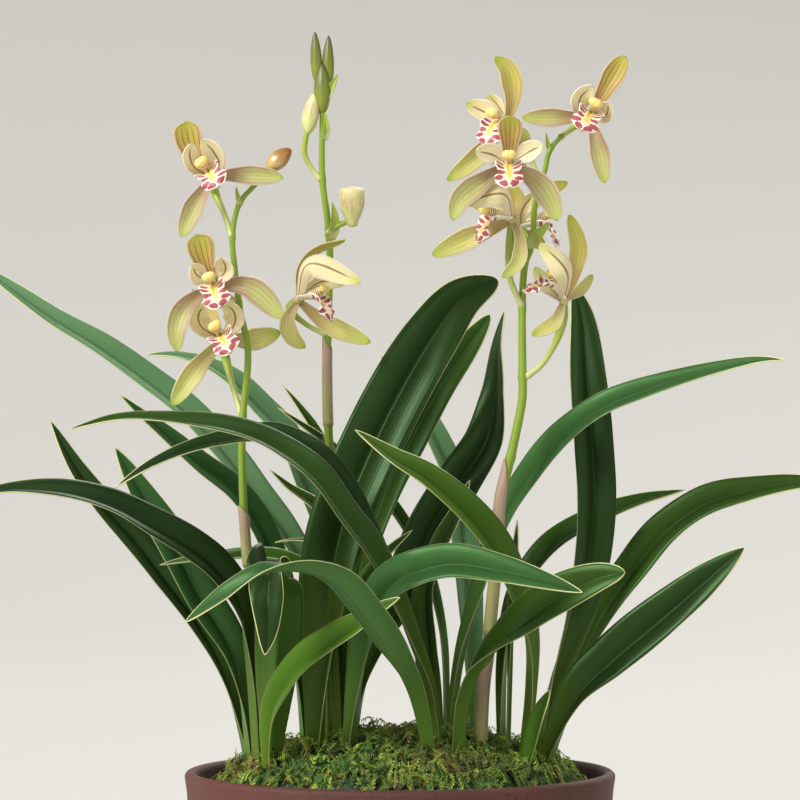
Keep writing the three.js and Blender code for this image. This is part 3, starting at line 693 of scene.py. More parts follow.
@dataclass(frozen=True)
class LeafFinish:
    """A strap leaf's satin green, with faint long veins, a paler foot and a cream margin."""

    tone: Tone
    body: str
    # The darker green, mixed in at random and in streaks, which on the upper side also paints the shade in
    # the midrib's groove
    shade: str
    under: str
    foot: str = "#67842a"
    sheen: str = "#b0e8a8"
    margin: str = "#dcd8a0"
    margin_width: float = 0.1
    tip_width: float = 0.55
    roughness: float = 0.38

    def side(self, lower: bool) -> Material:
        """Makes one side's material.

        Args:
            lower: Whether it is the under side.

        Returns:
            The material.
        """
        name = f"leaf_{self.tone.value}_{'under' if lower else 'upper'}"
        graph = Graph(name, self.roughness + 0.12 * lower)
        graph.even("Specular Tint", colour(self.sheen))
        graph.even("Specular IOR Level", 0.5)
        along = graph.along()
        cloud = graph.noise(graph.mapped("UV", (0.9, 2.2, 1.0)), 1.3, 0.0)
        body, shade = (self.under, self.body) if lower else (self.body, self.shade)
        green = graph.mix(graph.step(cloud, 0.15, 0.85), shade, body)
        veins = graph.lines(21, 0.06, 0.34)
        streaks = graph.drawn(34.0, 1.8, 2.0)
        green = graph.tint(green, veins, 0.2, self.under)
        green = graph.tint(green, graph.step(streaks, 0.3, 0.8), 0.24, self.shade)
        # Painted shade darkens the midrib's groove on the upper side, and a painted highlight pales its
        # keel on the lower side
        rib = graph.step(graph.off_centre(), 0.06, 0.0)
        rib = graph.times(rib, graph.step(along, 0.98, 0.6))
        green = graph.tint(green, rib, 0.6, self.under if lower else self.shade)
        green = graph.tint(green, graph.step(along, 0.34, 0.0), 0.7, self.foot)
        green = graph.tint(green, graph.step(along, 0.99, 1.0), 0.6, self.margin)
        ragged = graph.drawn(6.0, 30.0, 2.0)
        wide = graph.times(graph.step(along, 0.5, 0.97), self.tip_width - self.margin_width)
        edge = graph.minus(graph.attribute("edge"), wide)
        edge = graph.plus(edge, graph.times(ragged, 0.16))
        rim = graph.step(edge, self.margin_width + 0.1, self.margin_width - 0.05)
        shown = graph.plus(graph.times(graph.step(along, 0.35, 0.8), 0.55), 0.4)
        rim = graph.times(rim, shown)
        base = graph.mix(rim, green, self.margin)
        relief = graph.minus(graph.times(veins, 0.4), graph.times(rib, 1.2))
        relief = graph.plus(relief, graph.times(streaks, 0.3))
        return graph.finish(base, relief, 0.00005)

    def make(self) -> list[Material]:
        """Returns the upper side's and the lower side's materials."""
        return [self.side(False), self.side(True)]


# The deep finish adds painted shade to a dark green; the teal and pale finishes paint a sheen of reflected
# light into the colour
LEAF_FINISHES = {finish.tone: finish for finish in (
    LeafFinish(Tone.DEEP_SHADED, "#20350e", "#101f08", "#3a5a1a"),
    LeafFinish(Tone.MID, "#345010", "#1d3409", "#4e6e22"),
    LeafFinish(Tone.TEAL_SHEEN, "#396330", "#22431f", "#50753a"),
    LeafFinish(Tone.PALE_SHEEN, "#6b9066", "#4a704a", "#7d9a6b"),
    LeafFinish(Tone.BRIGHT, "#426008", "#2a4605", "#60801c"),
    LeafFinish(Tone.YOUNG, "#466c0e", "#2e5006", "#74942a", foot="#76962a"),
)}


@dataclass(frozen=True)
class TepalFinish:
    """A sepal or petal: a green-yellow middle, blushed margins and foot, and long brown veins."""

    name: str
    body: str
    tip: str
    foot: str
    rim: str
    vein: str = "#7d4a38"
    margin: str = "#efe6cc"
    main_veins: float = 0.5
    fine_veins: float = 0.2
    rim_share: float = 0.7
    foot_share: float = 0.75
    streak: str | None = None
    roughness: float = 0.46

    def make(self) -> Material:
        """Builds the material.

        Returns:
            The material.
        """
        graph = Graph(self.name, self.roughness)
        graph.translucent(0.3, (0.9, 0.8, 0.4), 0.002)
        along, off = graph.along(), graph.off_centre()
        cloud = graph.mottle(170.0, 3.0)
        ragged = graph.times(graph.minus(cloud, 0.5), 0.5)
        base = graph.mix(graph.step(graph.plus(along, ragged), 0.5, 1.0), self.body, self.tip)
        blush = graph.step(graph.plus(off, ragged), 0.35, 1.05)
        blush = graph.times(graph.times(blush, self.rim_share), graph.step(along, 1.05, 0.6))
        base = graph.mix(blush, base, self.rim)
        foot = graph.step(graph.plus(along, ragged), 0.5, 0.0)
        base = graph.tint(base, foot, self.foot_share, self.foot)
        base = graph.tint(base, graph.step(off, 0.9, 1.0), 0.35, self.margin)
        broken = graph.drawn(7.0, 3.0, 2.0)
        fade = graph.times(graph.step(along, 1.0, 0.45), graph.step(broken, 0.15, 0.5))
        for count, blur, strength in ((5, 0.16, self.main_veins), (15, 0.3, self.fine_veins)):
            veins = graph.lines(count, 0.03, blur)
            base = graph.tint(base, graph.times(veins, fade), strength, self.vein)
        if self.streak:
            mark = graph.step(graph.plus(off, graph.times(ragged, 0.2)), 0.14, 0.05)
            mark = graph.times(mark, graph.step(along, 0.8, 0.6))
            base = graph.tint(base, mark, 0.75, self.streak)
        relief = graph.plus(graph.times(graph.lines(15, 0.03, 0.4), -0.7), cloud)
        return graph.finish(base, relief)


def tepal_finishes(age: Age) -> list[Material]:
    """Makes a flower's materials.

    Args:
        age: The flower's age.

    Returns:
        The dorsal sepal's, the other sepals' and the petals' materials.
    """
    if age is Age.RIPE:
        finishes = (
            TepalFinish("dorsal_ripe", "#bcae4a", "#b4b848", "#ba8c6c", "#b89270", main_veins=0.85),
            TepalFinish("sepal_ripe", "#b8bc74", "#b4be5e", "#a87c78", "#b4948c", main_veins=0.35),
            TepalFinish("petal_ripe", "#efe5bc", "#eee6b8", "#e8cdbb", "#eed6c2", main_veins=0.08,
                        fine_veins=0.08, foot_share=0.5, streak="#6f2420"),
        )
    else:
        finishes = (
            TepalFinish("dorsal_fresh", "#c2bc5e", "#aab838", "#c0a274", "#c4ad80", main_veins=0.3,
                        rim_share=0.45),
            TepalFinish("sepal_fresh", "#c2c470", "#a6b63c", "#c2a884", "#c6b08c", main_veins=0.22,
                        rim_share=0.45),
            TepalFinish("petal_fresh", "#eae0ac", "#ccd26c", "#e6cab6", "#ecd8c0", main_veins=0.08,
                        fine_veins=0.08, foot_share=0.5, streak="#7a2c24"),
        )
    return [finish.make() for finish in finishes]


@dataclass(frozen=True)
class Blotch:
    """A crimson spot on a lip, by its place and reach across and along the lip."""

    across: float
    along: float
    wide: float
    long: float


@dataclass(frozen=True)
class LipFinish:
    """A white lip with a yellow throat, red bars on its side lobes and crimson blotches in front."""

    name: str = "lip"
    body: str = "#f3e8da"
    throat: str = "#e8c860"
    crimson: str = "#a01c38"
    roughness: float = 0.45
    blotches: tuple[Blotch, ...] = (
        Blotch(0.28, 0.85, 0.18, 0.105), Blotch(0.73, 0.86, 0.18, 0.105), Blotch(0.16, 0.7, 0.17, 0.062),
        Blotch(0.85, 0.69, 0.17, 0.062), Blotch(0.14, 0.57, 0.2, 0.042), Blotch(0.86, 0.56, 0.2, 0.042),
        Blotch(0.17, 0.45, 0.18, 0.038), Blotch(0.83, 0.445, 0.18, 0.038), Blotch(0.19, 0.35, 0.15, 0.03),
        Blotch(0.81, 0.34, 0.15, 0.03),
    )

    def make(self) -> Material:
        """Builds the material.

        Returns:
            The material.
        """
        graph = Graph(self.name, self.roughness)
        graph.translucent(0.15, (0.9, 0.7, 0.5), 0.0015)
        across, along = graph.across(), graph.along()
        wobble = graph.mottle(520.0, 2.0)
        shift = graph.times(graph.minus(wobble, 0.5), 1.9)
        marks: object = 0.0
        for blotch in self.blotches:
            x = graph.math("DIVIDE", graph.minus(across, blotch.across), blotch.wide)
            y = graph.math("DIVIDE", graph.minus(along, blotch.along), blotch.long)
            far = graph.plus(graph.times(x, x), graph.times(y, y))
            spot = graph.step(graph.plus(far, shift), 1.15, 0.8)
            marks = graph.math("MAXIMUM", marks, spot)
        middle = graph.times(graph.step(graph.off_centre(), 0.55, 0.05), graph.step(along, 0.86, 0.6))
        base = graph.mix(middle, self.body, self.throat)
        base = graph.tint(base, marks, 0.92, self.crimson)
        relief = graph.mottle(900.0, 2.0)
        return graph.finish(base, relief)


@dataclass(frozen=True)
class StemFinish:
    """Green stem tissue that pales or darkens along its length, with fine long streaks."""

    name: str
    low: str
    high: str
    streak: str
    tint: float = 0.35
    turn: float = 0.5
    roughness: float = 0.38

    def make(self) -> Material:
        """Builds the material, whose colours change at turn, a share of the length.

        Returns:
            The material.
        """
        graph = Graph(self.name, self.roughness)
        streaks = graph.drawn(14.0, 2.5, 3.0)
        place = graph.plus(graph.along(), graph.times(streaks, 0.12))
        base = graph.mix(graph.step(place, self.turn - 0.45, self.turn + 0.5), self.low, self.high)
        base = graph.tint(base, graph.step(streaks, 0.42, 0.72), self.tint, self.streak)
        return graph.finish(base, streaks, 0.00012)


@dataclass(frozen=True)
class ColumnFinish:
    """The column: cream, with dark red bars round its outer part, near the anther."""

    name: str = "column"
    body: str = "#efe6b8"
    bars: str = "#9c3a34"
    roughness: float = 0.45

    def make(self) -> Material:
        """Builds the material.

        Returns:
            The material.
        """
        graph = Graph(self.name, self.roughness)
        bands = graph.node("ShaderNodeTexWave", wave_type="BANDS", bands_direction="Y")
        bands.inputs["Scale"].default_value = 1.3
        bands.inputs["Distortion"].default_value = 2.0
        graph.feed(bands.inputs["Vector"], graph.mapped("UV", (1.0, 3.0, 1.0)))
        share = graph.times(graph.step(bands.outputs["Fac"], 0.35, 0.75), 0.75)
        share = graph.times(share, graph.step(graph.along(), 0.5, 0.72))
        relief = graph.mottle(800.0, 2.0)
        return graph.finish(graph.mix(share, self.body, self.bars), relief)


@dataclass(frozen=True)
class MossFinish:
    """Moss: near black below as painted shade among the fronds, vivid green above, yellow at the tips, with
    browner fronds.
    """

    name: str = "moss"
    # Painted shade: the near black of the cushion and the fronds' low parts, which lie under the fronds
    # above
    low: str = "#161f09"
    middle: str = "#47720f"
    tip: str = "#a8c044"
    dry: str = "#8f7a38"
    # The darker green of the painted shade in the moss's hollows
    deep: str = "#213f0a"
    roughness: float = 0.62

    def make(self) -> Material:
        """Builds the material.

        Returns:
            The material.
        """
        graph = Graph(self.name, self.roughness)
        fine = graph.mottle(1100.0, 2.0)
        patches = graph.mottle(70.0, 4.0)
        worn = graph.mottle(24.0, 3.0)
        hue = graph.attribute("hue")
        rise = graph.attribute("rise")
        # Painted shade: the lower the rise, the nearer the colour is to black
        base = graph.mix(graph.step(rise, 0.1, 0.6), self.low, self.middle)
        tips = graph.times(graph.step(rise, 0.45, 1.0), graph.step(hue, 0.15, 0.7))
        base = graph.mix(tips, base, self.tip)
        base = graph.tint(base, graph.step(hue, 0.86, 0.93), 0.75, self.dry)
        base = graph.tint(base, graph.step(worn, 0.56, 0.68), 0.5, self.dry)
        # Painted shade: darker patches laid at random, for the shade in hollows between the tufts
        base = graph.tint(base, graph.step(patches, 0.46, 0.62), 0.55, self.deep)
        return graph.finish(base, fine, 0.0004)


@dataclass(frozen=True)
class EarthFinish:
    """Bark, soil or grit: a mottled rough colour."""

    name: str
    dark: str
    light: str
    scale: float = 350.0
    depth: float = 0.0006
    roughness: float = 0.9

    def make(self) -> Material:
        """Builds the material.

        Returns:
            The material.
        """
        graph = Graph(self.name, self.roughness)
        grain = graph.noise(graph.mapped("Object", (1.0, 1.0, 1.6)), self.scale, 5.0)
        base = graph.mix(graph.step(grain, 0.35, 0.65), self.dark, self.light)
        return graph.finish(base, grain, self.depth)


@dataclass(frozen=True)
class ClayFinish:
    """Unglazed red-brown clay, with throwing lines, specks and a faint mauve bloom."""

    name: str = "clay"
    body: str = "#5c3026"
    dark: str = "#4a261e"
    bloom: str = "#6e4e46"
    speck: str = "#2c1814"
    roughness: float = 0.72

    def make(self) -> Material:
        """Builds the material.

        Returns:
            The material.
        """
        graph = Graph(self.name, self.roughness)
        cloud = graph.mottle(22.0, 5.0)
        grain = graph.mottle(1400.0, 2.0)
        pits = graph.mottle(420.0, 3.0)
        rings = graph.noise(graph.mapped("Object", (6.0, 6.0, 260.0)), 1.0, 3.0)
        base = graph.mix(graph.step(cloud, 0.35, 0.65), self.dark, self.body)
        base = graph.tint(base, graph.step(graph.mottle(9.0, 6.0), 0.48, 0.78), 0.45, self.bloom)
        base = graph.tint(base, graph.step(rings, 0.5, 0.7), 0.2, self.dark)
        base = graph.tint(base, graph.step(grain, 0.62, 0.72), 0.6, self.bloom)
        base = graph.tint(base, graph.step(pits, 0.64, 0.72), 0.7, self.speck)
        relief = graph.plus(graph.times(rings, 0.5), graph.times(grain, 0.35))
        relief = graph.minus(relief, graph.times(graph.step(pits, 0.62, 0.72), 0.5))
        return graph.finish(base, relief, 0.0005)


@dataclass(frozen=True)
class LeafShape:
    """One strap leaf: its name, greatest width, tone and route of across, depth, up and turn."""

    name: str
    width: float
    tone: Tone
    route: tuple[Row, ...]
    tip: Tip = Tip.POINTED


# Where each leaf tip begins to narrow, and the two powers of its outline
LEAF_TIPS = {Tip.BLUNT: (0.64, 2.8, 0.52), Tip.POINTED: (0.5, 2.4, 0.68)}
LEAF_SHAPES = (
    LeafShape("a1", 16, Tone.TEAL_SHEEN, (
        (-60, -8, FOOT, 75), (-62, -8, 156, 60), (-67, -8, 178, 45), (-80, -9, 200, 30),
        (-90, -10, 219, 22), (-104, -12, 242, 20), (-114, -14, 259, 20))),
    LeafShape("a2", 15, Tone.DEEP_SHADED, (
        (-57, -18, FOOT, 80), (-59, -19, 162, 80), (-61, -20, 182, 70), (-63, -22, 196, 50),
        (-72, -27, 210, 40), (-84, -32, 220, 35), (-100, -37, 229, 45), (-116, -42, 237, 50),
        (-136, -47, 242, 55), (-160, -52, 242, 60), (-176, -56, 237, 60))),
    LeafShape("a3", 12, Tone.DEEP_SHADED, (
        (-60, 2, FOOT, 70), (-69, 2, 166, 50), (-80, 2, 188, 40), (-94, 2, 207, 30), (-104, 3, 220, 25),
        (-120, 4, 238, 25), (-130, 5, 252, 25), (-140, 6, 270, 30))),
    LeafShape("a4", 13, Tone.YOUNG, (
        (-52, -33, FOOT, -60), (-52, -38, 152, -55), (-46, -42, 165, -45), (-38, -44, 175, -40),
        (-28, -46, 182, -40), (-18, -48, 188, -40), (-9, -50, 194, -45), (0, -52, 199, -45))),
    LeafShape("a5", 20, Tone.DEEP_SHADED, (
        (-52, -27, FOOT, 180), (-50, -29, 162, 180), (-49, -29, 182, 175), (-49, -31, 200, 165),
        (-52, -39, 212, 110), (-53, -49, 209, 40), (-53, -55, 198, 5), (-53, -59, 187, 0),
        (-54, -61, 176, 0))),
    LeafShape("b1", 14, Tone.PALE_SHEEN, (
        (-34, 22, FOOT, 70), (-35, 22, 174, 60), (-38, 22, 210, 50), (-46, 22, 226, 40),
        (-58, 22, 242, 38), (-70, 23, 258, 38), (-84, 24, 273, 38), (-100, 26, 286, 38),
        (-120, 28, 300, 38), (-140, 30, 312, 38), (-160, 32, 326, 38), (-174, 34, 335, 38))),
    LeafShape("b2", 12, Tone.TEAL_SHEEN, (
        (-38, 12, FOOT, 70), (-40, 12, 162, 60), (-44, 12, 190, 50), (-50, 10, 214, 40), (-57, 8, 230, 35),
        (-66, 5, 242, 35), (-80, 0, 253, 35), (-94, -4, 265, 35), (-104, -7, 273, 40),
        (-112, -9, 280, 40))),
    LeafShape("b3", 10, Tone.YOUNG, (
        (-30, -6, FOOT, 80), (-30, -6, 174, 75), (-33, -5, 198, 70), (-38, -4, 210, 65),
        (-48, -4, 215, 62), (-61, -7, 216, 62), (-72, -13, 215, 62), (-85, -20, 214, 62),
        (-96, -25, 212, 62))),
    LeafShape("b4", 6, Tone.BRIGHT, (
        (-33, 5, FOOT, 80), (-32, 5, 174, 80), (-30, 5, 202, 78), (-31, 4, 216, 75), (-35, 3, 221, 70),
        (-42, 2, 222, 68), (-50, 0, 221, 68))),
    LeafShape("b5", 9, Tone.MID, (
        (-26, 31, FOOT, 70), (-25, 31, 174, 70), (-24, 31, 202, 60), (-26, 31, 220, 50),
        (-29, 30, 231, 42), (-35, 29, 237, 40), (-44, 29, 243, 40), (-52, 29, 250, 40))),
    LeafShape("b6", 8, Tone.MID, (
        (-24, 22, FOOT, 70), (-23, 22, 174, 70), (-23, 22, 214, 55), (-25, 22, 238, 45),
        (-28, 22, 252, 40), (-34, 22, 266, 38), (-40, 22, 275, 38), (-47, 22, 284, 38))),
    LeafShape("b7", 14, Tone.PALE_SHEEN, (
        (-26, 41, FOOT, 70), (-27, 42, 174, 65), (-28, 42, 198, 60), (-32, 42, 230, 45),
        (-38, 42, 246, 40), (-46, 42, 265, 38), (-56, 42, 276, 38), (-66, 42, 286, 40), (-78, 42, 293, 50),
        (-90, 42, 296, 60), (-102, 42, 296, 60))),
    LeafShape("b8", 26, Tone.DEEP_SHADED, (
        (-33, -16, FOOT, -60), (-31, -16, 182, -40), (-28, -15, 210, -22), (-22, -13, 234, -12),
        (-12, -10, 258, -8), (0, -6, 282, -8), (12, -2, 302, -8), (24, 3, 318, -8), (39, 8, 326, -10)),
        Tip.BLUNT),
    LeafShape("b9", 16, Tone.MID, (
        (-24, 5, FOOT, -60), (-22, 5, 182, -45), (-16, 6, 214, -30), (-6, 8, 242, -20), (4, 11, 262, -15),
        (16, 15, 284, -15), (26, 19, 298, -15), (36, 22, 312, -15)),
        Tip.BLUNT),
    LeafShape("b10", 20, Tone.DEEP_SHADED, (
        (-20, 14, FOOT, -60), (-16, 14, 162, -50), (-9, 14, 182, -40), (2, 16, 202, -20),
        (12, 19, 226, -10), (24, 23, 246, -10), (34, 26, 262, -20), (38, 28, 282, -52), (39, 29, 300, -62),
        (42, 30, 314, -62))),
    LeafShape("b11", 8, Tone.BRIGHT, (
        (-21, -6, FOOT, -70), (-22, -6, 174, -60), (-21, -6, 193, -50), (-15, -5, 205, -45),
        (-5, -4, 217, -40), (5, -4, 226, -40))),
    LeafShape("b12", 17, Tone.TEAL_SHEEN, (
        (-21, -21, FOOT, -70), (-17, -26, 166, -60), (-12, -33, 190, -50), (-6, -41, 202, -40),
        (4, -49, 209, -32), (20, -52, 213, -30), (40, -57, 210, -30), (60, -62, 205, -30),
        (73, -64, 201, -30))),
    LeafShape("c1", 16, Tone.TEAL_SHEEN, (
        (13, -34, FOOT, 110), (6, -45, 158, 125), (-4, -56, 178, 140), (-14, -63, 193, 140),
        (-26, -70, 206, 130), (-40, -76, 211, 105), (-54, -80, 210, 75), (-70, -82, 201, 50),
        (-86, -82, 189, 45))),
    LeafShape("c2", 14, Tone.MID, (
        (16, -22, FOOT, 80), (12, -22, 162, 75), (5, -23, 182, 65), (-3, -26, 202, 55),
        (-11, -32, 218, 50), (-22, -38, 233, 48), (-33, -42, 248, 48), (-48, -44, 259, 50),
        (-64, -48, 266, 55), (-88, -53, 270, 62), (-112, -56, 271, 65), (-133, -58, 266, 65))),
    LeafShape("c3", 12, Tone.DEEP_SHADED, (
        (14, -12, FOOT, 75), (12, -12, 162, 70), (5, -13, 182, 60), (-3, -15, 202, 50),
        (-11, -21, 220, 45), (-24, -28, 246, 40), (-36, -32, 258, 40), (-50, -33, 264, 45),
        (-66, -37, 263, 50), (-84, -40, 259, 50), (-100, -42, 252, 50), (-114, -44, 243, 50))),
    LeafShape("c4", 18, Tone.MID, (
        (23, -33, FOOT, -100), (26, -34, 158, -100), (31, -36, 172, -90), (40, -40, 182, -70),
        (52, -44, 192, -40), (66, -48, 201, -28), (80, -51, 207, -28), (90, -53, 209, -30)),
        Tip.BLUNT),
    LeafShape("c5", 13, Tone.TEAL_SHEEN, (
        (19, -3, FOOT, -80), (24, -3, 174, -75), (32, -3, 202, -60), (41, -3, 230, -50),
        (52, -5, 248, -42), (64, -8, 263, -40), (80, -13, 275, -40), (100, -16, 283, -42),
        (124, -19, 290, -45), (144, -22, 294, -48), (154, -24, 294, -50))),
    LeafShape("c6", 7, Tone.MID, (
        (18, 18, FOOT, 70), (17, 20, 182, 60), (9, 28, 214, 45), (-2, 30, 234, 40), (-20, 22, 253, 38),
        (-32, 13, 263, 38), (-42, 10, 270, 38), (-49, 8, 275, 38))),
    LeafShape("c7", 11, Tone.MID, (
        (16, 7, FOOT, 60), (11, 5, 178, -30), (10, 4, 202, -40), (16, 6, 220, -35), (23, 8, 234, -30),
        (28, 9, 246, -30))),
    LeafShape("c8", 14, Tone.PALE_SHEEN, (
        (28, 28, FOOT, 60), (28, 34, 180, 40), (26, 40, 214, 30), (23, 44, 242, 30), (16, 46, 260, 30),
        (6, 48, 278, 30), (-8, 50, 296, 30))),
    LeafShape("d1", 15, Tone.BRIGHT, (
        (48, -24, FOOT, 80), (52, -25, 162, 78), (52, -26, 182, 70), (48, -28, 198, 55),
        (40, -30, 217, 40), (28, -32, 233, 35), (12, -34, 247, 35), (-2, -36, 255, 40),
        (-18, -38, 266, 45))),
    LeafShape("d2", 17, Tone.DEEP_SHADED, (
        (54, -3, FOOT, 70), (62, -3, 166, 55), (70, -2, 190, 40), (76, -1, 214, 25), (78, -1, 238, 15),
        (77, 0, 262, 10), (75, 2, 286, 10), (73, 5, 310, 10), (70, 7, 323, 10)),
        Tip.BLUNT),
    LeafShape("d3", 16, Tone.MID, (
        (57, 7, FOOT, -70), (68, 8, 166, -50), (80, 8, 192, -40), (93, 7, 210, -35), (106, 6, 226, -33),
        (122, 4, 237, -33), (140, 2, 242, -35), (160, 0, 245, -40), (175, -2, 244, -45))),
    LeafShape("d4", 20, Tone.DEEP_SHADED, (
        (57, -14, FOOT, -70), (70, -14, 160, -50), (84, -14, 174, -35), (102, -15, 189, -28),
        (120, -16, 204, -26), (138, -17, 219, -28))),
    LeafShape("d5", 12, Tone.MID, (
        (41, 4, FOOT, -80), (42, 6, 178, -70), (48, 7, 202, -55), (60, 10, 220, -42), (78, 15, 231, -40),
        (96, 17, 238, -45), (114, 18, 242, -45))),
    LeafShape("d6", 6, Tone.MID, (
        (43, -9, FOOT, -90), (44, -9, 166, -88), (45, -9, 198, -60), (46, -10, 214, -40),
        (47, -10, 230, -30))),
    LeafShape("sheath", 9, Tone.YOUNG, (
        (49, -33, FOOT, -60), (55, -33, 150, -50), (60, -33, 162, -45))),
)


class TepalKind(Enum):
    """The dorsal sepal, a lateral sepal or a petal, by its material slot."""

    DORSAL = 0
    LATERAL = 1
    PETAL = 2


# The order in which a flower's tepals are listed, and the slot of the ovary's top that follows them
TEPAL_KINDS = (TepalKind.DORSAL, TepalKind.LATERAL, TepalKind.LATERAL, TepalKind.PETAL, TepalKind.PETAL)
OVARY_SLOT = 3

# Where each tip begins to narrow, how full it stays and how fast the tepal's foot widens
TIP_FORMS = {Tip.BLUNT: (0.78, 2.9, 0.95), Tip.ROUNDED: (0.6, 2.4, 1.05), Tip.POINTED: (0.5, 1.9, 1.3)}


@dataclass(frozen=True)
class TepalShape:
    """One sepal or petal: its greatest width, its route from the hub and its tip's outline."""

    width: float
    route: tuple[Row, ...]
    tip: Tip = Tip.POINTED

    def half_width(self, along: float) -> float:
        """Finds half the tepal's width at a share of its length.

        Args:
            along: The share.

        Returns:
            The half width, in millimetres.
        """
        shoulder, roundness, flare = TIP_FORMS[self.tip]
        past = max(0.0, (along - shoulder) / (1 - shoulder))
        rounded = math.sqrt(max(0.0, 1 - past ** roundness))
        return max(0.08, self.width / 2 * min(1.0, 0.32 + flare * along) * rounded)


@dataclass(frozen=True)
class FlowerShape:
    """One flower: its name, age and hub, the way it faces, its dorsal side and its tepals."""

    name: str
    age: Age
    hub: Row
    facing: Row
    up: Row
    tepals: tuple[TepalShape, ...]


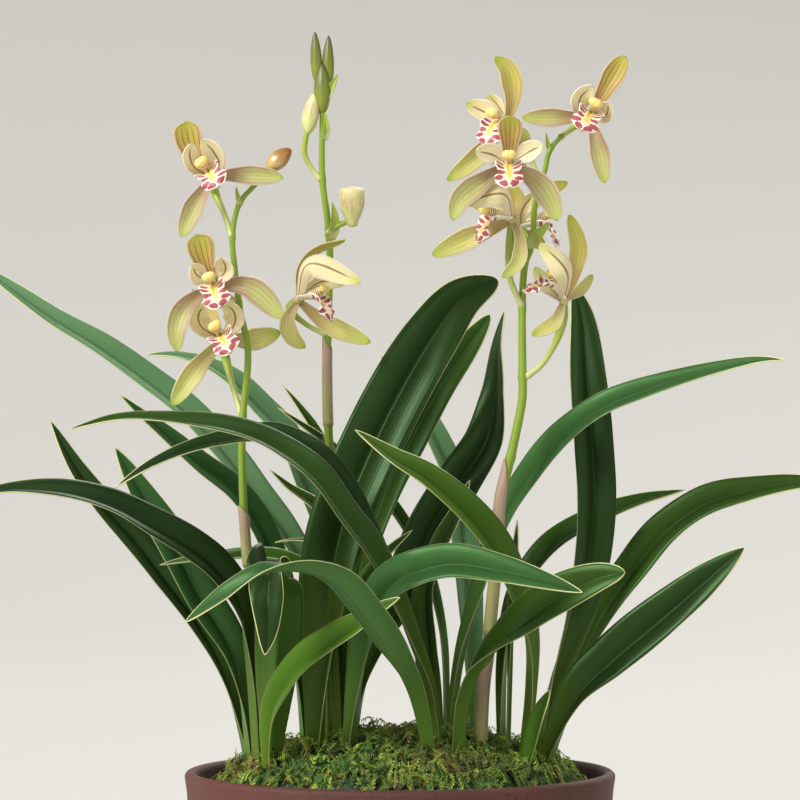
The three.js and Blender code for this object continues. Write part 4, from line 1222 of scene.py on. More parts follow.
FLOWER_SHAPES = (
    FlowerShape("left_top", Age.RIPE, (-75, -19, 367.5), (-0.08, -0.96, 0.08), (-0.6, 0, 0.8), (
        TepalShape(11, ((-83.5, -21, 379, 0), (-86, -23, 389, 0)), Tip.BLUNT),
        TepalShape(8, ((-62, -22, 368, 0), (-47, -23, 367, 0))),
        TepalShape(8.5, ((-82, -22, 356, 0), (-87.5, -24, 343.5, 0))),
        TepalShape(7, ((-81.5, -23, 370.5, 50), (-84, -27, 375.5, 50), (-83.5, -31, 380.5, 40))),
        TepalShape(8, ((-72.5, -23, 372, -45), (-75, -27, 377.5, -45), (-79, -30, 382, -35))),
    )),
    FlowerShape("left_middle", Age.RIPE, (-74.2, -22, 324), (0, -0.98, -0.15), (-0.35, 0, 0.93), (
        TepalShape(11, ((-78, -25, 333, 0), (-81, -28, 344, 0)), Tip.BLUNT),
        TepalShape(10, ((-60, -26, 323, 0), (-47, -27, 311, 0))),
        TepalShape(9, ((-86, -26, 315, 0), (-89.5, -28, 306, 0), (-89, -28, 297.5, 0))),
        TepalShape(7.5, ((-81, -26, 328, 40), (-83, -31, 332, 35))),
        TepalShape(8, ((-70, -26, 330, -40), (-71.5, -31, 335, -35))),
    )),
    FlowerShape("left_low", Age.FRESH, (-71, -17, 302.5), (0, -0.97, 0.05), (-0.5, 0, 0.86), (
        TepalShape(8, ((-77, -13, 313, 0), (-83, -12, 322, 0))),
        TepalShape(9, ((-60, -10, 302, 0), (-48, -9, 305, 0))),
        TepalShape(8.5, ((-82.5, -21, 289, 0), (-91, -23, 276, 0))),
        TepalShape(8, ((-79, -21, 307, 45), (-80.5, -25, 312, 45), (-77, -28, 317, 35))),
        TepalShape(8, ((-66.5, -21, 308, -45), (-66.5, -25, 313, -45), (-70.5, -28, 317, -35))),
    )),
    FlowerShape("middle", Age.FRESH, (-41, -10, 318), (0.88, -0.45, -0.05), (0.1, 0, 1), (
        TepalShape(6, ((-40, -10, 330, 40), (-34, -11, 338, 60), (-22, -11, 342, 60))),
        TepalShape(7, ((-45, -13, 309, 0), (-43, -14, 303, 0), (-38, -14, 299, 0))),
        TepalShape(8, ((-30, -8, 309, 0), (-12, -12, 301, 0))),
        TepalShape(9, ((-36, -21, 332, 150), (-16, -24, 325, 150))),
        TepalShape(6, ((-32, -7, 325, 30), (-22, -8, 325, 30))),
    )),
    FlowerShape("right_a", Age.FRESH, (43, -8, 389), (-0.55, -0.8, -0.15), (0.15, 0, 1), (
        TepalShape(9, ((45, -10, 400, 10), (43, -11, 410, 10), (38, -12, 415, 10))),
        TepalShape(8, ((29.5, -12, 374, 0), (19, -13, 366, 0))),
        TepalShape(5, ((48.5, -9, 385, 0), (51.5, -8, 380, 0))),
        TepalShape(8, ((34.5, -8, 393, 20), (26.8, -9, 396.5, 20))),
        TepalShape(5, ((39, -6, 396, -30), (35, -6, 400, -30))),
    )),
    FlowerShape("right_b", Age.RIPE, (76, -16, 391.5), (-0.05, -0.97, 0), (0.45, 0, 0.89), (
        TepalShape(9, ((84, -19, 405.5, 0), (90, -20, 415.5, 0)), Tip.ROUNDED),
        TepalShape(7.5, ((64, -18, 391, 0), (49, -18, 391, 0))),
        TepalShape(8, ((79.5, -20, 378, 0), (82, -21, 365, 0))),
        TepalShape(8, ((72, -20, 393.5, 45), (72.5, -24, 399, 45), (77, -27, 403.5, 35))),
        TepalShape(7, ((82, -20, 392, -45), (83.5, -26, 397, -40))),
    )),
    FlowerShape("right_c", Age.RIPE, (43.3, -25, 371.8), (0, -0.97, -0.12), (0, 0, 1), (
        TepalShape(9.5, ((44, -29, 382, 0), (44, -34, 391.5, 0)), Tip.BLUNT),
        TepalShape(9.5, ((34, -31, 366, 0), (24, -35, 358, 0), (21, -37, 350, 0))),
        TepalShape(10, ((54, -29, 366, 0), (60, -30, 358, 0), (63, -31, 350, 0))),
        TepalShape(7.5, ((37.5, -29, 376, 20), (30.5, -33, 377.5, 10))),
        TepalShape(7.5, ((51, -29, 377, -20), (57, -33, 380, -10))),
    )),
    FlowerShape("right_d", Age.FRESH, (45, -21, 350), (-0.9, -0.4, -0.1), (0.2, 0, 1), (
        TepalShape(8, ((46, -19, 357, 0), (45, -19, 364, 0))),
        TepalShape(9, ((28, -17, 343, 0), (13, -18, 336, 0))),
        TepalShape(6, ((48, -23, 342, 0), (47, -25, 333, 0), (41, -25, 327, 0))),
        TepalShape(8.5, ((41, -32, 360, 205), (26, -34, 357, 205))),
        TepalShape(6, ((37, -16, 356, -30), (30, -16, 355, -30))),
    )),
    FlowerShape("right_e", Age.FRESH, (48, -5, 346.5), (0.9, -0.2, 0.05), (0, 0, 1), (
        TepalShape(6.5, ((52.5, -3, 356, 0), (60, -4, 362, 0), (67, -4, 365, 0))),
        TepalShape(6, ((46, -2, 340, 180), (45, 0, 334, 180))),
        TepalShape(6, ((54, -2, 342, 180), (58, 0, 339, 180))),
        TepalShape(6, ((47, -3, 353, 180), (52, 0, 359, 180))),
        TepalShape(6, ((49, -11, 354, 20), (54, -14, 361, 20))),
    )),
    FlowerShape("right_f", Age.FRESH, (65.5, -15, 317.5), (-0.71, -0.36, 0.61), (0.6, 0, 0.77), (
        TepalShape(7.5, ((69, -16, 327, 10), (71.2, -17, 339, 10), (67.8, -18, 352, 10))),
        TepalShape(6.5, ((62, -19, 309, 20), (53, -21, 304, 20))),
        TepalShape(5, ((73, -9, 323, 20), (77, -7, 328, 20))),
        TepalShape(9, ((66, -26.5, 329.5, 210), (56, -28, 340.5, 210))),
        TepalShape(6, ((58, -8, 325, -30), (54, -6, 331, -30))),
    )),
)
FLOWERS_BY_NAME = {flower.name: flower for flower in FLOWER_SHAPES}


@dataclass
class Leaves:
    """The strap leaves of the four shoots and the short sheath at the foot of the last one."""

    rows: int = 104
    columns: int = 16
    thickness: float = 0.36
    base_fold: float = 60.0
    blade_fold: float = 18.0
    crease: float = 33.0
    keel: float = 0.07
    arch: float = 0.14
    wave: float = 0.03
    tip_gather: float = 1.5
    rib_gather: float = 1.35
    young: tuple[str, ...] = ("sheath", "a4", "b3", "b4")
    seed: int = 100

    @staticmethod
    def half_width(shape: LeafShape, along: float) -> float:
        """Finds half the leaf's width at a share of its length.

        Args:
            shape: The leaf.
            along: The share.

        Returns:
            The half width, in millimetres.
        """
        shoulder, roundness, sharpness = LEAF_TIPS[shape.tip]
        foot = lerp(0.52, 1.0, smooth(along, 0.0, 0.5))
        past = max(0.0, (along - shoulder) / (1 - shoulder))
        return max(0.12, shape.width / 2 * foot * max(0.0, 1 - past ** roundness) ** sharpness)

    def blade(self, shape: LeafShape, chance: random.Random) -> Draft:
        """Makes one leaf, gently arched each side of its keel and waved at its margins.

        Args:
            shape: The leaf.
            chance: Gives its waves.

        Returns:
            Its mesh in the making.
        """
        midrib = Midrib(*rooted(shape.route))
        phases = [chance.uniform(0, math.tau) for _ in range(4)]
        waves = midrib.route.length / MM / chance.uniform(34, 52)

        def along_of(v: float) -> float:
            """Returns the share along the leaf, with the rows gathered at its tip."""
            return 1 - (1 - v) ** self.tip_gather

        def aside(u: float) -> float:
            """Returns -1 to 1 across the leaf, with the columns gathered at its midrib."""
            return math.copysign(abs(2 * u - 1) ** self.rib_gather, u - 0.5)

        def corner(u: float, v: float) -> Vector:
            """Returns the place of one of the upper face's corners."""
            along, a = along_of(v), aside(u)
            point, spread, normal = midrib.frame(along)
            reach = self.half_width(shape, along) * MM
            open_share = smooth(along, 0.0, 0.42)
            angle = math.radians(lerp(self.base_fold, self.blade_fold, open_share))
            crease = lerp(self.crease, self.blade_fold * 0.6, smooth(along, 0.7, 1.0))
            steep = math.sin(math.radians(lerp(self.base_fold, crease, open_share)))
            vee = math.sqrt(a * a + self.keel ** 2) - self.keel
            rise = steep * (vee - 0.45) + self.arch * open_share * 4 * abs(a) * (1 - abs(a))
            side = 0 if a < 0 else 2
            swell = math.sin(waves * math.tau * along + phases[side])
            swell += 0.5 * math.sin(waves * 5.3 * along + phases[side + 1])
            rise += self.wave * swell * a * a * smooth(along, 0.25, 0.5)
            lift = rise * reach + self.thickness / 2 * MM
            return point + spread * (reach * math.cos(angle) * a) + normal * lift

        def margin(u: float, v: float) -> float:
            """Returns a corner's distance from the nearer margin, in millimetres."""
            return (1 - abs(aside(u))) * self.half_width(shape, along_of(v))

        bm = bmesh.new()
        faces = shaped_grid(bm, self.columns, self.rows, corner, edge=margin)
        thicken(bm, faces, self.thickness * MM, under=1)
        return bm

    def build(self) -> None:
        """Builds every leaf in its own finish."""
        materials = {tone: finish.make() for tone, finish in LEAF_FINISHES.items()}
        for number, shape in enumerate(LEAF_SHAPES):
            node = "basal_sheath" if shape.name == "sheath" else f"leaf_{shape.name}"
            slot = "young_leaf" if shape.name in self.young else "leaf"
            bm = self.blade(shape, random.Random(self.seed + number))
            piece(f"blade_{shape.name}", bm, materials[shape.tone], slot, node)


@dataclass
class Perianths:
    """Each flower's three sepals and two petals, with the ovary's top that they spring from."""

    rows: int = 32
    columns: int = 16
    thickness: float = 0.45
    cup: float = 0.22
    wave: float = 0.05
    foot_fold: float = 24.0
    tip_fold: float = 9.0
    rib: float = 0.015
    hub_radius: float = 1.9
    petal_swell: float = 1.14
    petal_turn: float = 0.55
    tip_gather: float = 1.6
    seed: int = 300

    def tepal(self, bm: Draft, hub: Row, shape: TepalShape, kind: TepalKind,
              chance: random.Random) -> None:
        """Adds one tepal, cupped lengthwise and faintly ribbed.

        Args:
            bm: The mesh in the making.
            hub: The flower's hub.
            shape: The tepal.
            kind: Which tepal it is.
            chance: Gives its waves.
        """
        centre = SIGHT.seen(hub)
        rest = [SIGHT.seen_from(hub, row) for row in shape.route]
        start = centre + (rest[0] - centre).normalized() * HUB_RADIUS * 0.5 * MM
        petal = kind is TepalKind.PETAL
        turns = [row[3] * (self.petal_turn if petal and abs(row[3]) < 90 else 1) for row in shape.route]
        wide = self.petal_swell if petal else 1.0
        midrib = Midrib([start, *rest], [turns[0], *turns])
        phases = (chance.uniform(0, ANY_TURN), chance.uniform(0, ANY_TURN))

        def corner(u: float, v: float) -> Vector:
            """Returns the place of one of the upper face's corners, with the rows gathered at the tip."""
            along, a = 1 - (1 - v) ** self.tip_gather, 2 * u - 1
            point, spread, normal = midrib.frame(along)
            reach = shape.half_width(along) * wide * MM
            angle = math.radians(lerp(self.foot_fold, self.tip_fold, along))
            rise = math.sin(angle) * (math.sqrt(a * a + 0.02) - 0.5)
            rise += self.cup * (a * a - 0.3) * (1 - 0.6 * smooth(along, 0.6, 1.0))
            rise += self.wave * a * a * math.sin(9 * along + phases[0 if a < 0 else 1])
            rise += self.rib * math.cos(5 * math.pi * a)
            lift = rise * reach + self.thickness / 2 * MM
            return point + spread * (reach * math.cos(angle) * a) + normal * lift

        faces = shaped_grid(bm, self.columns, self.rows, corner, material=kind.value)
        thicken(bm, faces, self.thickness * MM)

    def build(self) -> None:
        """Builds every flower's tepals."""
        finishes = {age: tepal_finishes(age) for age in Age}
        ovary = StemFinish("ovary", "#b9b468", "#b8ae6a", "#a88a5e").make()
        for number, flower in enumerate(FLOWER_SHAPES):
            chance = random.Random(self.seed + number)
            bm = bmesh.new()
            for kind, shape in zip(TEPAL_KINDS, flower.tepals):
                self.tepal(bm, flower.hub, shape, kind, chance)
            hub = Matrix.Translation(SIGHT.seen(flower.hub))
            made = bmesh.ops.create_uvsphere(bm, u_segments=20, v_segments=12,
                                             radius=self.hub_radius * MM, matrix=hub, calc_uvs=True)
            dressed(made["verts"], OVARY_SLOT)
            piece(f"tepals_{flower.name}", bm, [*finishes[flower.age], ovary], "tepal",
                  f"perianth_{flower.name}")


@dataclass
class Lips:
    """Each flower's lip with its claw, side lobes and curled mid lobe, and the column above it.

    The midrib, the column and the anther cap are placed by how far in front of the hub and above it.
    """

    lip_width: float = 13.0
    midrib: tuple[Row, ...] = ((1.0, 0.2), (3.2, 0.6), (8.5, 0.4), (12.4, -1.8), (14.6, -4.6), (15.4, -7.4))
    claw: float = 0.11
    throat_curl: float = 0.9
    front_curl: float = -0.4
    column: tuple[Row, ...] = ((0.8, 0.8), (3.2, 2.0), (7.5, 3.7), (11.4, 4.7))
    column_radius: float = 1.5
    column_swell: float = 0.55
    anther: tuple[float, float, float] = (2.8, 1.9, 2.0)
    anther_place: Row = (11.8, 5.0)
    thickness: float = 0.45
    keel: float = 0.55
    ruffle: float = 0.5
    rows: int = 44
    columns: int = 28
    tip_gather: float = 1.35
    column_slot: int = 1
    anther_slot: int = 2
    seed: int = 500

    def half_width(self, v: float) -> float:
        """Finds half the lip's width: a claw, the side lobes and the rounded mid lobe.

        Args:
            v: The share of the lip's length.

        Returns:
            The half width, in millimetres.
        """
        along = max(0.0, (v - self.claw) / (1 - self.claw))
        lobes = (0.42 + 0.5 * bell(along, 0.42, 0.22)) * (1 - smooth(along, 0.58, 0.8))
        front = math.sqrt(max(0.0, 1 - max(0.0, (along - 0.76) / 0.24) ** 2.2))
        mid = 0.9 * bell(min(along, 0.76), 0.76, 0.2) * front
        return max(0.15, self.lip_width / 2 * max(lobes, mid))

    def lip(self, bm: Draft, route: Route, side: Vector, chance: random.Random) -> None:
        """Adds the lip's sheet, rolled up between its side lobes and ruffled round its mid lobe.

        Args:
            bm: The mesh in the making.
            route: Its midrib.
            side: The direction across it.
            chance: Gives its ruffle.
        """
        phase = chance.uniform(0, ANY_TURN)

        def corner(u: float, v: float) -> Vector:
            """Returns the place of one of the upper face's corners, with the rows gathered at the tip."""
            a = 2 * u - 1
            along = 1 - (1 - v) ** self.tip_gather
            t = route.t_of(along)
            tangent = route.tangent(t)
            normal = tangent.cross(side).normalized()
            spread = tangent.cross(normal)
            share = (along - self.claw) / (1 - self.claw)
            curl = lerp(self.throat_curl, self.front_curl, smooth(share, 0.45, 0.83))
            curl = curl if abs(curl) > 0.02 else 0.02
            bend = self.half_width(along) / curl
            keels = self.keel * (bell(a, 0.15, 0.08) + bell(a, -0.15, 0.08))
            keels *= 1 - smooth(share, 0.5, 0.68)
            edge = smooth(abs(a), 0.35, 1.0)
            ruffle = self.ruffle * edge * math.sin(26 * share + phase + 2.2 * (a > 0))
            ruffle *= smooth(share, 0.5, 0.75)
            ruffle += 0.4 * self.ruffle * smooth(share, 0.85, 1.0) * math.sin(9 * a + phase)
            lift = (bend * (1 - math.cos(curl * a)) + keels + ruffle + self.thickness / 2) * MM
            return route.at(t) + spread * (bend * math.sin(curl * a) * MM) + normal * lift

        faces = shaped_grid(bm, self.columns, self.rows, corner)
        thicken(bm, faces, self.thickness * MM)

    def column_body(self, bm: Draft, tube: Tube) -> None:
        """Adds the column, which swells towards the anther and closes in a round end.

        Args:
            bm: The mesh in the making.
            tube: The column's route.
        """

        def corner(u: float, v: float) -> Vector:
            """Returns the place of one of the column's corners."""
            swell = self.column_radius + self.column_swell * smooth(v, 0.55, 0.85)
            ends = math.sqrt(max(0.0, 1 - max(0.0, (v - 0.88) / 0.12) ** 2)) * smooth(v, -0.05, 0.04)
            return tube.point(u, v, max(0.0, swell * ends) * MM)

        shaped_grid(bm, 18, 22, corner, material=self.column_slot, closed=True)

    def anther_cap(self, bm: Draft, placed: Matrix) -> None:
        """Adds the pillow-shaped anther cap with its shallow middle groove.

        Args:
            bm: The mesh in the making.
            placed: Its place, turn and size.
        """
        cap = bmesh.ops.create_uvsphere(bm, u_segments=24, v_segments=16, radius=1.0, calc_uvs=True)
        for corner in cap["verts"]:
            spot = corner.co
            groove = 1 - 0.16 * bell(spot.x, 0.0, 0.22) * smooth(spot.y + 0.6 * spot.z, -0.2, 0.6)
            pillow = 1 + 0.08 * (abs(spot.x) * abs(spot.z))
            corner.co = placed @ Vector((spot.x * pillow, spot.y * groove, spot.z * groove))
        dressed(cap["verts"], self.anther_slot)

    def build(self) -> None:
        """Builds every flower's lip and column."""
        materials = [LipFinish().make(), ColumnFinish().make(),
                     StemFinish("anther_cap", "#e8d070", "#f0e294", "#dfc05a", roughness=0.5).make()]
        for number, flower in enumerate(FLOWER_SHAPES):
            face = Vector(flower.facing).normalized()
            top = Vector(flower.up)
            top = (top - face * top.dot(face)).normalized()
            side = top.cross(face)
            hub = SIGHT.seen(flower.hub)
            lip, column, anther = ([hub + (face * ahead + top * above) * MM for ahead, above in route]
                                   for route in (self.midrib, self.column, (self.anther_place,)))
            bm = bmesh.new()
            self.lip(bm, Route(lip), side, random.Random(self.seed + number))
            self.column_body(bm, Tube(column, 20))
            turn = Matrix((side, face, top)).transposed().to_4x4()
            size = Matrix.Diagonal((*(reach * MM for reach in self.anther), 1.0))
            self.anther_cap(bm, Matrix.Translation(anther[0]) @ turn @ size)
            piece(f"lip_and_column_{flower.name}", bm, materials, "lip", f"lip_{flower.name}")


class StemPart(Enum):
    """The tissues of a flower stem, by their material slot."""

    STEM = 0
    SHEATH = 1
    STALK = 2
    GREEN_BUD = 3
    GOLDEN_BUD = 4
    CREAM_BUD = 5


STEM_FINISHES = {
    StemPart.STEM: StemFinish("stem", "#667e1a", "#7f9b26", "#95af3a"),
    StemPart.SHEATH: StemFinish("dry_sheath", "#a8a66a", "#a8897c", "#8a6a5a", tint=0.4, turn=0.62,
                                roughness=0.5),
    StemPart.STALK: StemFinish("pedicel", "#dcd6a4", "#94aa34", "#adbd58", turn=0.2),
    StemPart.GREEN_BUD: StemFinish("green_bud", "#7d8c2c", "#4a3c22", "#5f6a20", tint=0.6, turn=0.75),
    StemPart.GOLDEN_BUD: StemFinish("golden_bud", "#cdb878", "#8a4e14", "#a06a22", tint=0.6, turn=0.6,
                                    roughness=0.25),
    StemPart.CREAM_BUD: StemFinish("cream_bud", "#d2d68e", "#dccf9c", "#b5836c", tint=0.6, turn=0.75),
}


class BudForm(Enum):
    """The two outlines of a bud: drawn to a point, or cut short with its sepals just parting."""

    POINTED = "pointed"
    PARTING = "parting"


@dataclass(frozen=True)
class Bud:
    """An unopened flower: its foot, its tip, its greatest radius, its tissue and its outline."""

    foot: Row
    tip: Row
    radius: float
    part: StemPart
    form: BudForm = BudForm.POINTED

    def profile(self, v: float) -> float:
        """Finds the bud's radius at a share of its length.

        Args:
            v: The share.

        Returns:
            The radius, as a share of the greatest.
        """
        if not 0 < v < 1:
            return 0.0
        if self.form is BudForm.PARTING:
            lip = math.sqrt(max(0.0, 1 - max(0.0, (v - 0.84) / 0.16) ** 3))
            return (0.36 + 0.64 * smooth(v, -0.06, 0.6)) * lip * smooth(v, -0.02, 0.05)
        return math.sin(math.pi * v ** 0.86) ** 0.62


@dataclass(frozen=True)
class Sheath:
    """A dry bract clasping the stem from one height to another, its mouth turned to one side."""

    low: float
    high: float
    turn: float
    flare: float = 0.3


@dataclass(frozen=True)
class StemShape:
    """One flower stem: its route, radii, flower stalks, buds, side stalks, bracts and sheaths."""

    name: str
    radii: tuple[float, float]
    route: tuple[Row, ...]
    pedicels: dict[str, tuple[Row, ...]]
    buds: tuple[Bud, ...] = ()
    stalks: tuple[tuple[float, tuple[Row, ...]], ...] = ()
    bracts: tuple[tuple[float, tuple[Row, ...]], ...] = ()
    sheaths: tuple[Sheath, ...] = ()
    joints: tuple[float, ...] = ()


STEM_SHAPES = (
    StemShape(
        "left", radii=(1.9, 0.9),
        route=((-52, -6, FOOT), (-54, -9, 170), (-58, -13, 195), (-61, -17, 214), (-63, -18, 246),
               (-63, -18, 270), (-61, -18, 290), (-61, -18, 300), (-64, -18, 314), (-66, -18, 330),
               (-67, -18, 344), (-64, -18, 357), (-58, -18, 364), (-51.5, -18, 371.5)),
        pedicels={
            "left_top": ((-67, -18, 343), (-70.5, -16, 353), (-74, -13, 361)),
            "left_middle": ((-65.5, -18, 317), (-70, -17, 321)),
            "left_low": ((-63, -18, 271), (-67, -14, 284), (-70, -11, 296)),
        },
        buds=(Bud((-53, -18, 370), (-43.5, -18, 378.5), 3.8, StemPart.GOLDEN_BUD),),
        bracts=((2, ((-64, -18.5, 356, 0), (-65, -19.5, 360, 0), (-65.5, -19.5, 363, 0))),),
        sheaths=(Sheath(176, 212, 0.1), Sheath(212, 236, 0.55)),
        joints=(212, 271, 317, 343, 357)),
    StemShape(
        "middle", radii=(2.1, 1.1),
        route=((-29, 13, FOOT), (-29, 13, 182), (-28, 12, 214), (-25, 9, 242), (-28, 5, 258),
               (-29, 3, 278), (-29, 2, 306), (-28, 0, 334), (-29, 0, 350), (-31, 0, 366), (-31, 0, 396)),
        pedicels={"middle": ((-29, 2, 304), (-37, 2, 308), (-44, -2, 314))},
        buds=(Bud((-31, 0, 392), (-31, 0, 413), 3.5, StemPart.GREEN_BUD),
              Bud((-33, 1, 404), (-34, 1, 425.5), 2.4, StemPart.GREEN_BUD),
              Bud((-29, 1, 400), (-28.5, 1, 424), 2.6, StemPart.GREEN_BUD),
              Bud((-37, 0, 384), (-34, 0, 401), 3.5, StemPart.CREAM_BUD),
              Bud((-19, -4, 347), (-19, -5, 363.5), 5.3, StemPart.CREAM_BUD, BudForm.PARTING)),
        stalks=((1.3, ((-32, 0, 366), (-38, 0, 376), (-37, 0, 387))),
                (1.3, ((-29, 0, 345), (-26, -3, 347), (-20, -4, 350)))),
        bracts=((5, ((-27, -2, 342, 0), (-26, -4, 350, 0), (-27, -4, 357, 0))),
                (4, ((-30, -1, 398, 0), (-27, -1, 404, 0), (-25, -1, 408, 0))),
                (3.5, ((-30, -0.5, 382, 0), (-29.5, -2.2, 387, 0), (-30, -2, 393, 0)))),
        sheaths=(Sheath(214, 264, 0.35), Sheath(268, 306, 0.45, flare=0.12)),
        joints=(214, 269, 304, 345, 366)),
    StemShape(
        "right", radii=(2.3, 0.9),
        route=((32, -14, FOOT), (33, -14, 158), (35, -14, 178), (37, -14, 198), (39, -14, 218),
               (40, -14, 238), (43, -14, 250), (46, -14, 263), (49, -14, 279), (49, -14, 288),
               (49, -14, 320), (50, -14, 332), (53, -14, 342), (54, -14, 356), (58, -14, 370),
               (60, -14, 378), (66, -14, 385)),
        pedicels={
            "right_a": ((56, -14, 365), (52, -9, 375), (47, -4, 384)),
            "right_b": ((64, -13, 383), (70, -11, 387.5)),
            "right_c": ((55, -15, 362), (51, -17, 369), (47, -20, 374)),
            "right_d": ((49, -14, 315), (44, -17, 327), (44, -19, 340)),
            "right_e": ((52, -14, 337), (51, -12, 339), (50, -8, 342)),
            "right_f": ((50, -14, 287), (56, -14, 291.5), (61.5, -12, 299.5), (65, -9, 309)),
        },
        bracts=((2, ((60, -14, 377, 0), (59, -15, 381, 0), (58.5, -15.5, 384.5, 0))),
                (6, ((51, -15, 339, 0), (55, -17, 344, 0), (60, -16, 349, 0))),
                (4, ((50, -15, 333, 0), (47, -16, 340, 0), (43, -16.5, 346, 0)))),
        sheaths=(Sheath(141, 178, 0.1), Sheath(184, 254, 0.55)),
        joints=(180, 255, 287, 315, 337, 362, 378)),
)


@dataclass
class FlowerStems:
    """The three flower stems with their stalks, buds, bracts, joints and dry sheaths."""

    pedicel_radius: float = 1.4
    taper: float = 1.6
    sides: int = 20
    rows: int = 150
    sheath_wall: float = 0.22
    sheath_stand: float = 0.25
    joint_swell: float = 0.3
    joint_reach: float = 0.006
    ovary_swell: float = 0.45
    bract_thickness: float = 0.32
    seam_depth: float = 0.09

    def radius(self, shape: StemShape, along: float) -> float:
        """Returns the main stem's radius, in millimetres, at a share of its length."""
        return lerp(*shape.radii, min(1.0, max(0.0, along)) ** self.taper)

    def stem(self, bm: Draft, shape: StemShape) -> Tube:
        """Adds the main stem, slightly swollen at its joints.

        Args:
            bm: The mesh in the making.
            shape: The stem.

        Returns:
            Its tube.
        """
        tube = Tube(rooted(shape.route)[0], self.rows)
        heights = [self.along_at(tube, height) for height in shape.joints]

        def corner(u: float, v: float) -> Vector:
            """Returns the place of one of the stem's corners."""
            swell = sum(self.joint_swell * bell(v, height, self.joint_reach) for height in heights)
            cap = math.sqrt(max(0.0, 1 - max(0.0, (v - 0.994) / 0.006) ** 2))
            return tube.point(u, v, (self.radius(shape, v) + swell) * cap * MM)

        shaped_grid(bm, self.sides, self.rows, corner, material=StemPart.STEM.value, closed=True)
        return tube

    @staticmethod
    def along_at(tube: Tube, height: float) -> float:
        """Finds where the stem reaches a height seen from the front.

        Args:
            tube: The stem's tube.
            height: The height, in millimetres.

        Returns:
            The share of its length.
        """
        low, high = 0.0, 1.0
        for _ in range(24):
            middle = (low + high) / 2
            point = tube.route.at(tube.route.t_of(middle)) / MM
            up = SIGHT.height + (point.z - SIGHT.height) / (1 + point.y / SIGHT.distance)
            low, high = (middle, high) if up < height else (low, middle)
        return (low + high) / 2

    def sheath(self, bm: Draft, tube: Tube, shape: StemShape, sheath: Sheath) -> None:
        """Adds one sheath, closed round the stem, with a slanting mouth that stands a little off.

        Args:
            bm: The mesh in the making.
            tube: The stem's tube.
            shape: The stem.
            sheath: The sheath.
        """
        low, high = self.along_at(tube, sheath.low), self.along_at(tube, sheath.high)

        def corner(u: float, v: float) -> Vector:
            """Returns the place of one of the sheath's outer corners."""
            slant = 0.5 + 0.5 * math.cos(math.tau * (u - sheath.turn))
            along = lerp(low, lerp(high, low, 0.22 * (1 - slant)), v)
            proud = self.sheath_stand + sheath.flare * smooth(v, 0.7, 1.0) * (0.4 + 0.6 * slant)
            return tube.point(u, along, (self.radius(shape, along) + proud + self.sheath_wall) * MM)

        faces = shaped_grid(bm, self.sides, 24, corner, material=StemPart.SHEATH.value, closed=True)
        thicken(bm, faces, self.sheath_wall * MM)

    def stalk(self, bm: Draft, points: Sequence[Vector], radius: float, ovary: bool) -> None:
        """Adds a flower or bud stalk, swelling into the ribbed ovary where it has one.

        Args:
            bm: The mesh in the making.
            points: The points that it passes through.
            radius: Its radius, in millimetres.
            ovary: Whether it ends in an ovary.
        """
        tube = Tube(points, 30)

        def corner(u: float, v: float) -> Vector:
            """Returns the place of one of the stalk's corners."""
            width = radius * (0.85 + 0.3 * bell(v, 0.0, 0.08))
            if ovary:
                ribs = 1 + 0.06 * math.cos(6 * math.pi * u)
                width += radius * self.ovary_swell * smooth(v, 0.35, 0.75) * ribs
            return tube.point(u, v, width * smooth(v, -0.02, 0.01) * smooth(v, 1.02, 0.985) * MM)

        shaped_grid(bm, 14, 30, corner, material=StemPart.STALK.value, closed=True)

    def bud(self, bm: Draft, bud: Bud) -> None:
        """Adds a bud of three closed sepals.

        Args:
            bm: The mesh in the making.
            bud: The bud.
        """
        foot, tip = SIGHT.seen(bud.foot), SIGHT.seen(bud.tip)
        tube = Tube([foot, foot.lerp(tip, 0.5), tip], 24)

        def corner(u: float, v: float) -> Vector:
            """Returns the place of one of the bud's corners, sunk at the seams between its sepals."""
            seams = 1 - self.seam_depth * abs(math.cos(3 * math.pi * u)) ** 8
            return tube.point(u, v, bud.radius * bud.profile(v) * seams * MM)

        shaped_grid(bm, 24, 24, corner, material=bud.part.value, closed=True)

    def bract(self, bm: Draft, width: float, route: Sequence[Row]) -> None:
        """Adds a small pointed bract.

        Args:
            bm: The mesh in the making.
            width: Its width, in millimetres.
            route: Its midrib's rows.
        """
        midrib = Midrib([SIGHT.seen(row) for row in route], [row[3] for row in route])

        def corner(u: float, v: float) -> Vector:
            """Returns the place of one of the upper face's corners."""
            a = 2 * u - 1
            point, spread, normal = midrib.frame(v)
            reach = max(0.08, width / 2 * (1 - v ** 2) * (0.45 + 0.55 * smooth(v, 0.0, 0.35))) * MM
            lift = reach * 0.5 * (a * a - 0.5) + 0.25 * MM
            return point + spread * (reach * 0.87 * a) + normal * lift

        faces = shaped_grid(bm, 8, 14, corner, material=StemPart.STALK.value)
        thicken(bm, faces, self.bract_thickness * MM)

    def build(self) -> None:
        """Builds the three stems."""
        materials = [STEM_FINISHES[part].make() for part in StemPart]
        for shape in STEM_SHAPES:
            bm = bmesh.new()
            tube = self.stem(bm, shape)
            for sheath in shape.sheaths:
                self.sheath(bm, tube, shape, sheath)
            for name, route in shape.pedicels.items():
                hub = SIGHT.seen(FLOWERS_BY_NAME[name].hub)
                points = [SIGHT.seen(row) for row in route]
                points.append(hub + (points[-1] - hub).normalized() * HUB_RADIUS * 0.6 * MM)
                self.stalk(bm, points, self.pedicel_radius, ovary=True)
            for radius, route in shape.stalks:
                self.stalk(bm, [SIGHT.seen(row) for row in route], radius, ovary=False)
            for bud in shape.buds:
                self.bud(bm, bud)
            for width, route in shape.bracts:
                self.bract(bm, width, route)
            piece(f"stem_{shape.name}", bm, materials, "stem", f"scape_{shape.name}")


